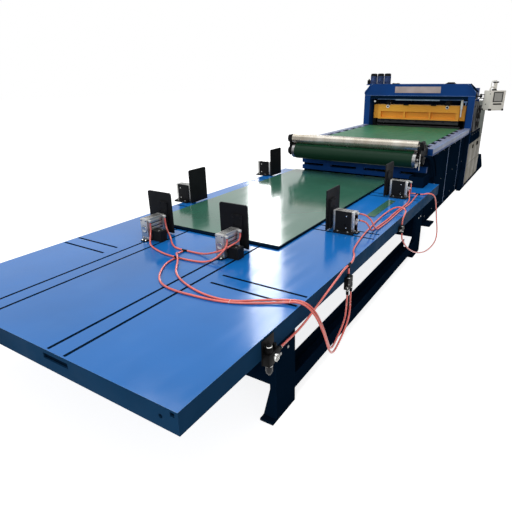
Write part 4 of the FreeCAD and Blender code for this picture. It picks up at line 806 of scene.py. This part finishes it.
# Painted shade: a dark slab standing for the shaded edges of the sheets under the top one
BAND_LOW = 541
BAND_TOP = 549.6
band = Kit("table_edge_band", "navy")
band.pair((955, TABLE_FRONT, BAND_LOW), (958.2, TABLE_FRONT + 4000, BAND_TOP), 0.4)
band.box((-957, TABLE_FRONT - 1.2, BAND_LOW), (957, TABLE_FRONT + 1, BAND_TOP), 0.4)
band.make()

# The dark edges of the sheets under the top one
stack_shade = Kit("sheet_stack_shade", "deep")
stack_shade.box((-771, -5590.5, 550.2), (459.5, -3128, 562.8), 0.5)
stack_shade.make()

# Outfeed: roller ends, rails, painted highlights on the post edges between the panels, and drive lines
DRUM_Y = -3232
BEARING_FACE = 769
RAIL_NEAR = -2972
PORTAL = -667
ends = Kit("roller_end_covers", "black")
bright = Kit("roller_end_rings", "chrome")
for side in (-1, 1):
    axis = (side, 0, 0)
    for level, cover in ((955, 27), (812.5, 30)):
        profile = ((0, cover), (14, cover), (18, cover * 0.8), (18, 20), (24, 18))
        ends.turned((side * BEARING_FACE, DRUM_Y, level), axis, profile, 28)
        bright.turned((side * (BEARING_FACE + 19), DRUM_Y, level), axis, ((0, 18), (3, 18), (4, 14)), 6)
        for turn in range(4):
            angle = math.radians(45 + 90 * turn)
            spot = (side * (BEARING_FACE + 14), DRUM_Y + 22 * math.cos(angle), level + 22 * math.sin(angle))
            bright.bolt(spot, axis, 3.5, 4)
caps = Kit("rail_end_caps", "royal")
caps.pair((762, RAIL_NEAR - 5, 828), (832, RAIL_NEAR - 1, 897), 1.5)
caps.pair((834, RAIL_NEAR - 2, 826), (836.5, PORTAL, 846), 0.8)
strips = Kit("belt_edge_strips", "rail")
for turn in range(8):
    along = -2940 + 270 * turn
    strips.pair((704, along, 893), (757, along + 105, 897.5), 0.8)
# Painted highlights: pale strips on the posts' near edges and along the top edge of the side
edges = Kit("conveyor_post_edge_highlights", "pale_edge")
for along, width in ((-1860, 9), (-1032, 5)):
    edges.pair((789, along, 42), (791.5, along + width, 822), 0.6)
edges.pair((831, RAIL_NEAR, 893), (836, PORTAL, 901))
skirts = Kit("conveyor_skirts", "deep")
skirts.pair((780, -2896, 44), (788, -2290, 500))
skirts.pair((764, -2896, 480), (770, -2290, 822))
LINE_ROUTE = ((800, -3200, 850), (818, -3120, 842), (822, -2960, 770),
              (822, -2800, 650), (820, -2690, 520), (792, -2650, 430))
drive_lines = Kit("drive_lines", "deep")
for side in (-1, 1):
    for shift in (0, 26, 48):
        drive_lines.bent([(side * across, along + shift, level) for across, along, level in LINE_ROUTE], 7)
gauge = Kit("front_gauge_rod", "white_plastic")
gauge.turned((780, -3300, 719), PLUS_Z, ((0, 4), (166, 4), (167, 3)), 12)
gauge.box((774, -3306, 790), (786, -3270, 800), 1.5)
panel_screws = Kit("conveyor_panel_screws", "steel")
for side in (-1, 1):
    for along in (-2850, -2500, -2150, -1800, -1450, -1100, -750):
        for level in (110, 420, 780):
            panel_screws.turned((side * 790, along, level), (side, 0, 0), ((0, 6), (1.5, 6), (2.5, 4)), 10)
make_all((ends, bright, caps, strips, edges, skirts, drive_lines, gauge, panel_screws))

# Shear: painted shade as a dark plate on the lower housing's top, rubber feed rollers, and painted shade as
# a dark back panel behind the blades
# Painted shade: a dark plate over the lower housing's top, seen through the throat
feed = Kit("throat_shade_plate", "black")
feed.box((-738, -205, 820.5), (738, 655, 826))
feed_rollers = Kit("rear_feed_rollers", "plastic")
for along in (60, 300, 540):
    for level in (860, 935):
        profile = ((0, 16), (14, 16), (14, 33), (1446, 33), (1446, 16), (1460, 16))
        feed_rollers.turned((-730, along, level), PLUS_X, profile, 32)
# Painted shade: a dark panel and blocks behind the blades, inside the portal
portal_shade = Kit("portal_back_shade", "deep")
portal_shade.box((-754, -238, 968), (754, -226, 1304))
for across in (-560, -190, 190, 560):
    portal_shade.box((across - 20, -262, 1215), (across + 20, -236, 1303), 3)

# The blade beam's lifting spindles, end wings and hold-down bar, which move with it
spindles = Kit("beam_spindle_rings", "chrome", "blade")
cores = Kit("beam_spindle_cores", "plastic", "blade")
for across in (-475, 456):
    spindles.turned((across, -570, 1185), MINUS_Y, ((0, 26), (8, 26), (10, 24), (10, 15), (7, 14)), 28)
    cores.turned((across, -576, 1185), MINUS_Y, ((0, 14), (1.5, 14), (1.5, 6), (12, 6), (13, 4)), 20)
    cores.box((across - 46, -600, 1216), (across + 46, -560, 1236), 3)
    cores.box((across - 22, -606, 1232), (across + 22, -566, 1262), 3)
    for side in (-1, 1):
        cores.bolt((across + side * 34, -588, 1236), PLUS_Z, 8, 10)
for across in (-180, 250):
    cores.box((across - 40, -592, 1206), (across + 40, -566, 1222), 3)
wings = Kit("beam_wings", "orange", "blade")
wings.pair((641, -532, 992), (722, -484, 1210), 3)
for side in (-1, 1):
    for level in (1030, 1100, 1170):
        wings.hexagon((side * 704, -532, level), MINUS_Y, 8, 7)
clamps = Kit("hold_down_bar", "black", "blade")
clamps.box((-636, -582, 972), (636, -570, 988), 2)
for turn in range(9):
    across = -560 + 140 * turn
    clamps.box((across - 22, -590, 962), (across + 22, -572, 982), 2)
    clamps.bolt((across, -590, 973), MINUS_Y, 6, 4)
make_all((feed, feed_rollers, portal_shade, spindles, cores, wings, clamps))

# Portal: gauge rods, sheet sensor, crown edges and chamfers, painted highlights and painted shade on the
# crown, and painted shade on the columns' lower fronts
rods = Kit("guide_gauge_rods", "white_plastic")
rods.turned((670, -612, 1053), PLUS_Z, ((0, 11), (110, 11), (112, 19), (250, 19)), 20)
sensor = Kit("sheet_sensor", "pale_edge")
sensor.box((690, -618, 1262), (742, -600, 1284), 2)
sensor.box((716, -616, 1222), (730, -602, 1264), 2)
for low, high in ((-640, -342), (342, 650)):
    sensor.box((low, -628, 1292), (high, -610, 1303))
lens = Kit("sheet_sensor_lens", "chrome")
lens.turned((-690, -600, 1262), MINUS_Y, ((0, 16), (8, 16), (10, 14), (10, 9), (6, 8)), 20)
crown = Kit("crown_edges", "royal")
crown.plate_pair(((735, 1529), (756, 1529), (853, 1402), (853, 1372), (742, 1514)), -676, -664)
# Painted highlights: pale lines along the chamfers' two edges and across the crown's front
crown_highlights = Kit("crown_edge_highlights", "pale_edge")
crown_highlights.box((-848, PORTAL, 1354), (848, PORTAL + 2.5, 1357), 0.8)
for front in (-668, -392):
    crown_highlights.plate_pair(((721, 1527), (727, 1531), (853, 1418), (849, 1412)), front, front + 8)
# Painted shade: dark plates in the gap between the crown's front and back plates at the chamfers, and a dark
# strip along its front below the pale line
crown_gap_shade = Kit("crown_chamfer_gap_shade", "deep")
crown_gap_shade.plate_pair(((730, 1521), (734, 1524), (851, 1419), (848, 1415)), -655, -396)
crown_gap_shade.box((-752, PORTAL + 0.5, 1307), (752, PORTAL + 2.2, 1350), 0.5)
# Painted shade: dark plates on the columns' lower fronts
column_shade = Kit("column_lower_shade", "deep")
column_shade.pair((757, PORTAL - 1, 28), (851, PORTAL + 2.4, 872), 0.8)
make_all((rods, sensor, lens, crown, crown_highlights, crown_gap_shade, column_shade))

# Sides of the shear: painted shade as a black plate in the drive recess, its linkages and pipes, drive box
# and doors
COVER_FACE = 851
RECESS = ((-655, 1296), (-215, 1262), (60, 1150), (110, 1000), (0, 828), (-515, 828), (-600, 1080))
BOX_STEPS = (-560, -360, -160, 40, 180)
BOSSES = ((-330, 1190, 22), (-260, 1120, 30), (-60, 1160, 18), (-320, 1000, 26),
          (-100, 980, 34), (-180, 870, 22), (-30, 1070, 16), (-560, 1210, 20))
# Painted shade: a flat black plate stands for the shade in the drive recess
recess_shade_plate = Kit("drive_recess", "black")
parts = Kit("drive_recess_parts", "dark_steel")
pipes = Kit("drive_recess_pipes", "plastic")
drive_box = Kit("drive_box", "deep")
doors = Kit("side_doors", "beige")
seams = Kit("side_door_seams", "black")
for side in (-1, 1):
    recess_shade_plate.plate(RECESS, "yz", side * 845, side * 851.5)
    for along, level, size in BOSSES:
        profile = ((0, size), (8, size), (10, size * 0.8), (10, size * 0.5), (16, size * 0.45))
        parts.turned((side * COVER_FACE, along, level), (side, 0, 0), profile, 20)
    for along in (-290, -190, -80, 20):
        pipes.bent(((side * 856, along, 1200), (side * 858, along + 8, 1120), (side * 858, along - 30, 1030),
                    (side * 856, along - 10, 930), (side * 852, along, 850)), 6)
    for along in BOX_STEPS:
        parts.hexagon((side * 862, along, 800), (side, 0, 0), 9, 7)
drive_box.pair((840, -640, 668), (862, 250, 826), 5)
for along in BOX_STEPS:
    drive_box.pair((860, along - 40, 690), (872, along + 30, 760), 4)
for front, back in ((-628, -226), (-220, 176), (182, 578)):
    doors.pair((842, front, 342), (852.5, back, 664), 2)
    doors.pair((842, front, 52), (852.5, back, 336), 2)
for along in (-262, 142, 232):
    seams.pair((852, along, 560), (866, along + 14, 620), 3)
shoulder = Kit("shoulder_box", "motor")
shoulder.box((770, -440, 1330), (COVER_FACE, -330, 1466), 5)
make_all((recess_shade_plate, parts, pipes, drive_box, doors, seams, shoulder))

# Rear housing: screwed panels with louvres, and screws along the covers
REAR = 665
HOUSING_TOP = 1240
panels = Kit("rear_housing_panels", "beige")
louvres = Kit("rear_housing_louvres", "black")
screws = Kit("housing_screws", "steel")
for low, high in ((-768, -4), (4, 768)):
    middle = (low + high) / 2
    panels.box((low, REAR - 1, 34), (high, REAR + 3, 812), 1.2)
    panels.box((low, -214, HOUSING_TOP - 1), (high, REAR - 8, HOUSING_TOP + 3), 1.2)
    for across in (low + 16, middle, high - 16):
        for level in (50, 420, 796):
            screws.bolt((across, REAR + 3, level), PLUS_Y, 7, 4)
        for along in (-198, 220, REAR - 24):
            screws.bolt((across, along, HOUSING_TOP + 3), PLUS_Z, 7, 4)
    for turn in range(10):
        level = 500 + 24 * turn
        louvres.box((middle - 170, REAR + 2, level), (middle + 170, REAR + 3.6, level + 10), 0.4)
        panels.box((middle - 174, REAR + 2, level + 9), (middle + 174, REAR + 11, level + 14), 2)
panels.box((-808, REAR - 1, 978), (808, REAR + 3, 1232), 1.2)
for turn in range(6):
    for level in (992, 1218):
        screws.bolt((-790 + 316 * turn, REAR + 3, level), PLUS_Y, 7, 4)
for side in (-1, 1):
    for along in (180, 330, 480, 640):
        for level in (712, 1236):
            screws.bolt((side * 846, along, level), (side, 0, 0), 7, 4)
lugs = Kit("crown_lug_details", "black")
lugs.box((395, -600, 1525), (527, -500, 1535), 3)
lugs.box((420, -590, 1534), (500, -510, 1549), 4)
lugs.box((-440, -560, 1524), (-330, -500, 1536), 3)
for across in (-420, -350, 410, 512):
    lugs.hexagon((across, -545, 1533), PLUS_Z, 9, 8)
make_all((panels, louvres, screws, lugs))

# Fan motors on their shelf
SHELF_TOP = 1523
MOTOR_Y = -500
FINS = 28
motors = Kit("motor_bodies", "motor")
cowls = Kit("motor_covers", "black")
shelf = Kit("motor_shelf", "royal")
shelf.box((-865, -575, 1509), (-465, -425, SHELF_TOP), 2)
for across in (-770, -655, -540):
    casing = ((0, 54), (8, 54), (8, 47), (112, 47), (112, 54), (120, 54))
    motors.turned((across, MOTOR_Y, SHELF_TOP), PLUS_Z, casing, 36)
    motors.box((across - 20, MOTOR_Y - 58, 1560), (across + 20, MOTOR_Y - 40, 1608), 3)
    for cos, sin in circle(FINS):
        motors.frame = local_frame((across, MOTOR_Y, 0), (cos, sin, 0), (-sin, cos, 0))
        motors.box((45, -1.4, 1530), (53.5, 1.4, 1636), 0.5)
    motors.frame = MILLIMETRES
    cowls.turned((across, MOTOR_Y, 1643), PLUS_Z, ((0, 52), (28, 52), (38, 46), (43, 30)), 32)
    for side in (-1, 1):
        cowls.bolt((across + side * 40, MOTOR_Y - 52, SHELF_TOP), PLUS_Z, 5, 5)
cowls.box((-866, -540, SHELF_TOP), (-832, -470, 1586), 4)
cowls.turned((-849, -505, 1586), PLUS_Z, ((0, 11), (14, 11), (18, 8)))
make_all((motors, cowls, shelf), "fan_motors")

# Operator panel, turned towards the table
PANEL_TURN = math.radians(40)
PANEL_RUN = (math.cos(PANEL_TURN), math.sin(PANEL_TURN), 0)
PANEL_SPOT = local_frame((1069.2, -746.57, 1167), PANEL_RUN, (-PANEL_RUN[1], PANEL_RUN[0], 0))
WIDE = 220
case = Kit("panel_case", "panel", "operator_panel", PANEL_SPOT)
case.box((0, 7, 0), (WIDE, 185, 270), 6)
case.box((0, 0, 0), (WIDE, 12, 116), 4)
case.box((0, 0, 252), (WIDE, 12, 270), 4)
case.box((0, 0, 110), (36, 12, 258), 3)
case.box((WIDE - 36, 0, 110), (WIDE, 12, 258), 3)
for step in range(8):
    case.box((WIDE - 3, 20 + 20 * step, 14), (WIDE + 5, 28 + 20 * step, 256), 1.5)
case.box((92, 88, 268), (128, 122, 372), 4)
case.bent(((14, 60, 266), (14, 60, 372), (24, 60, 400), (84, 60, 404), (100, 70, 398), (104, 90, 380)), 5)
case.bent(((-6, 40, 262), (-8, 44, 300), (10, 46, 318), (66, 46, 318), (84, 46, 300), (84, 46, 266)), 9)
trim = Kit("panel_trim", "plastic", "operator_panel", PANEL_SPOT)
for level in (116, 242):
    trim.box((36, -3, level), (184, 3, level + 10), 2)
for across in (36, 172):
    trim.box((across, -3, 124), (across + 12, 3, 244), 2)
trim.box((44, -3, 78), (176, 2, 98), 2)
for step in range(5):
    trim.turned((60 + 25 * step, -2, 88), MINUS_Y, ((0, 6), (4, 6), (5, 5)), 16)
for across in (-2, 190):
    for back in (-2, 157):
        trim.box((across, back, -3), (across + 32, back + 30, 24), 4)
for back, level in ((26, 225), (105, 82)):
    trim.turned((1, back, level), MINUS_X, ((0, 7), (6, 7), (8, 5)), 16)
trim.box((16, 16, 268), (86, 34, 278), 3)
trim.box((74, 86, 372), (148, 124, 390), 5)
trim.box((30, 30, 268), (88, 60, 290), 4)
glass = Kit("panel_screen", "screen", "operator_panel", PANEL_SPOT)
glass.box((44, 1, 122), (176, 4, 246))
make_all((case, trim, glass), "operator_panel")
pivot = Kit("panel_pivot_ears", "black", "operator_panel")
for level in (1322, 1374):
    pivot.box((895, -625, level), (972, -585, level + 10), 2)
pivot.turned((915, -605, 1322), PLUS_Z, ((0, 10), (66, 10), (68, 8)), 16)
pivot.make("operator_panel")

# Camera
LENS = 30.82
CAMERA_PLACE = (1.892, -7.927, 1.624)
HEADING = math.radians(31.10)
TILT = math.radians(90 - 21.23)
ROLL = math.radians(-0.56)
camera = add_object("camera", bpy.data.cameras.new("camera"))
camera.data.sensor_width = 36
camera.data.lens = LENS
camera.data.shift_x = -0.049
camera.data.shift_y = -0.014
camera.data.clip_end = 200
camera.location = CAMERA_PLACE
aim = Matrix.Rotation(HEADING, 4, "Z") @ Matrix.Rotation(TILT, 4, "X")
camera.rotation_euler = (aim @ Matrix.Rotation(ROLL, 4, "Z")).to_euler()
bpy.context.scene.camera = camera

# Floor
FLOOR_REACH = 40
FLOOR_GREY = 0.55
FLOOR_GLOW = 0.82
WHITE = (1, 1, 1, 1)
floor_mesh = bpy.data.meshes.new("floor")
corners = [(-1, -1), (1, -1), (1, 1), (-1, 1)]
floor_mesh.from_pydata([(x * FLOOR_REACH, y * FLOOR_REACH, 0) for x, y in corners], [], [(0, 1, 2, 3)])
add_object("floor", floor_mesh)
floor_look = Look("floor_pale", 0.9, specular=0.0)
floor_look.colour((FLOOR_GREY, FLOOR_GREY, FLOOR_GREY, 1))
floor_mesh.materials.append(floor_look.material)


def seen_rays(tree):
    """1 for the rays that show the background: from the camera, off gloss and through glass."""
    rays = tree.nodes.new("ShaderNodeLightPath")
    total = rays.outputs["Is Camera Ray"]
    for kind in ("Is Glossy Ray", "Is Transmission Ray"):
        larger = tree.nodes.new("ShaderNodeMath")
        larger.operation = "MAXIMUM"
        tree.links.new(total, larger.inputs[0])
        tree.links.new(rays.outputs[kind], larger.inputs[1])
        total = larger.outputs["Value"]
    return total


# The floor shows white, and its shadows stay
floor_look.shader.inputs["Emission Color"].default_value = WHITE
glow = floor_look.times(seen_rays(floor_look.tree), FLOOR_GLOW)
floor_look.link(glow, floor_look.shader.inputs["Emission Strength"])

# The world lights the object softly and shows white
WORLD_STRENGTH = 0.42
world = bpy.data.worlds.new("studio")
world.use_nodes = True
bpy.context.scene.world = world
tree = world.node_tree
soft = tree.nodes["Background"]
soft.inputs["Strength"].default_value = WORLD_STRENGTH
white_ground = tree.nodes.new("ShaderNodeBackground")
white_ground.inputs["Strength"].default_value = 1.0
for ground in (soft, white_ground):
    ground.inputs["Color"].default_value = WHITE
seen = tree.nodes.new("ShaderNodeMixShader")
tree.links.new(seen_rays(tree), seen.inputs[0])
tree.links.new(soft.outputs[0], seen.inputs[1])
tree.links.new(white_ground.outputs[0], seen.inputs[2])
tree.links.new(seen.outputs[0], tree.nodes["World Output"].inputs["Surface"])


def soft_light(name, place, target, size, power):
    lamp = bpy.data.lights.new(name, "AREA")
    lamp.shape = "RECTANGLE"
    lamp.size, lamp.size_y = size
    lamp.energy = power
    light = add_object(name, lamp)
    light.location = place
    light.rotation_euler = (Vector(target) - Vector(place)).to_track_quat("-Z", "Y").to_euler()


soft_light("overhead", (-1.0, -4.0, 7.5), (0, -3.8, 0.6), (6, 9), 330)
soft_light("front", (3.0, -22.0, 7.0), (0.2, -3.0, 0.9), (7, 5), 950)
soft_light("window", (-4.75, 2.2, 4.7), (1.9, -7.9, -0.5), (0.9, 5), 150)

bpy.context.scene.view_settings.view_transform = "Standard"
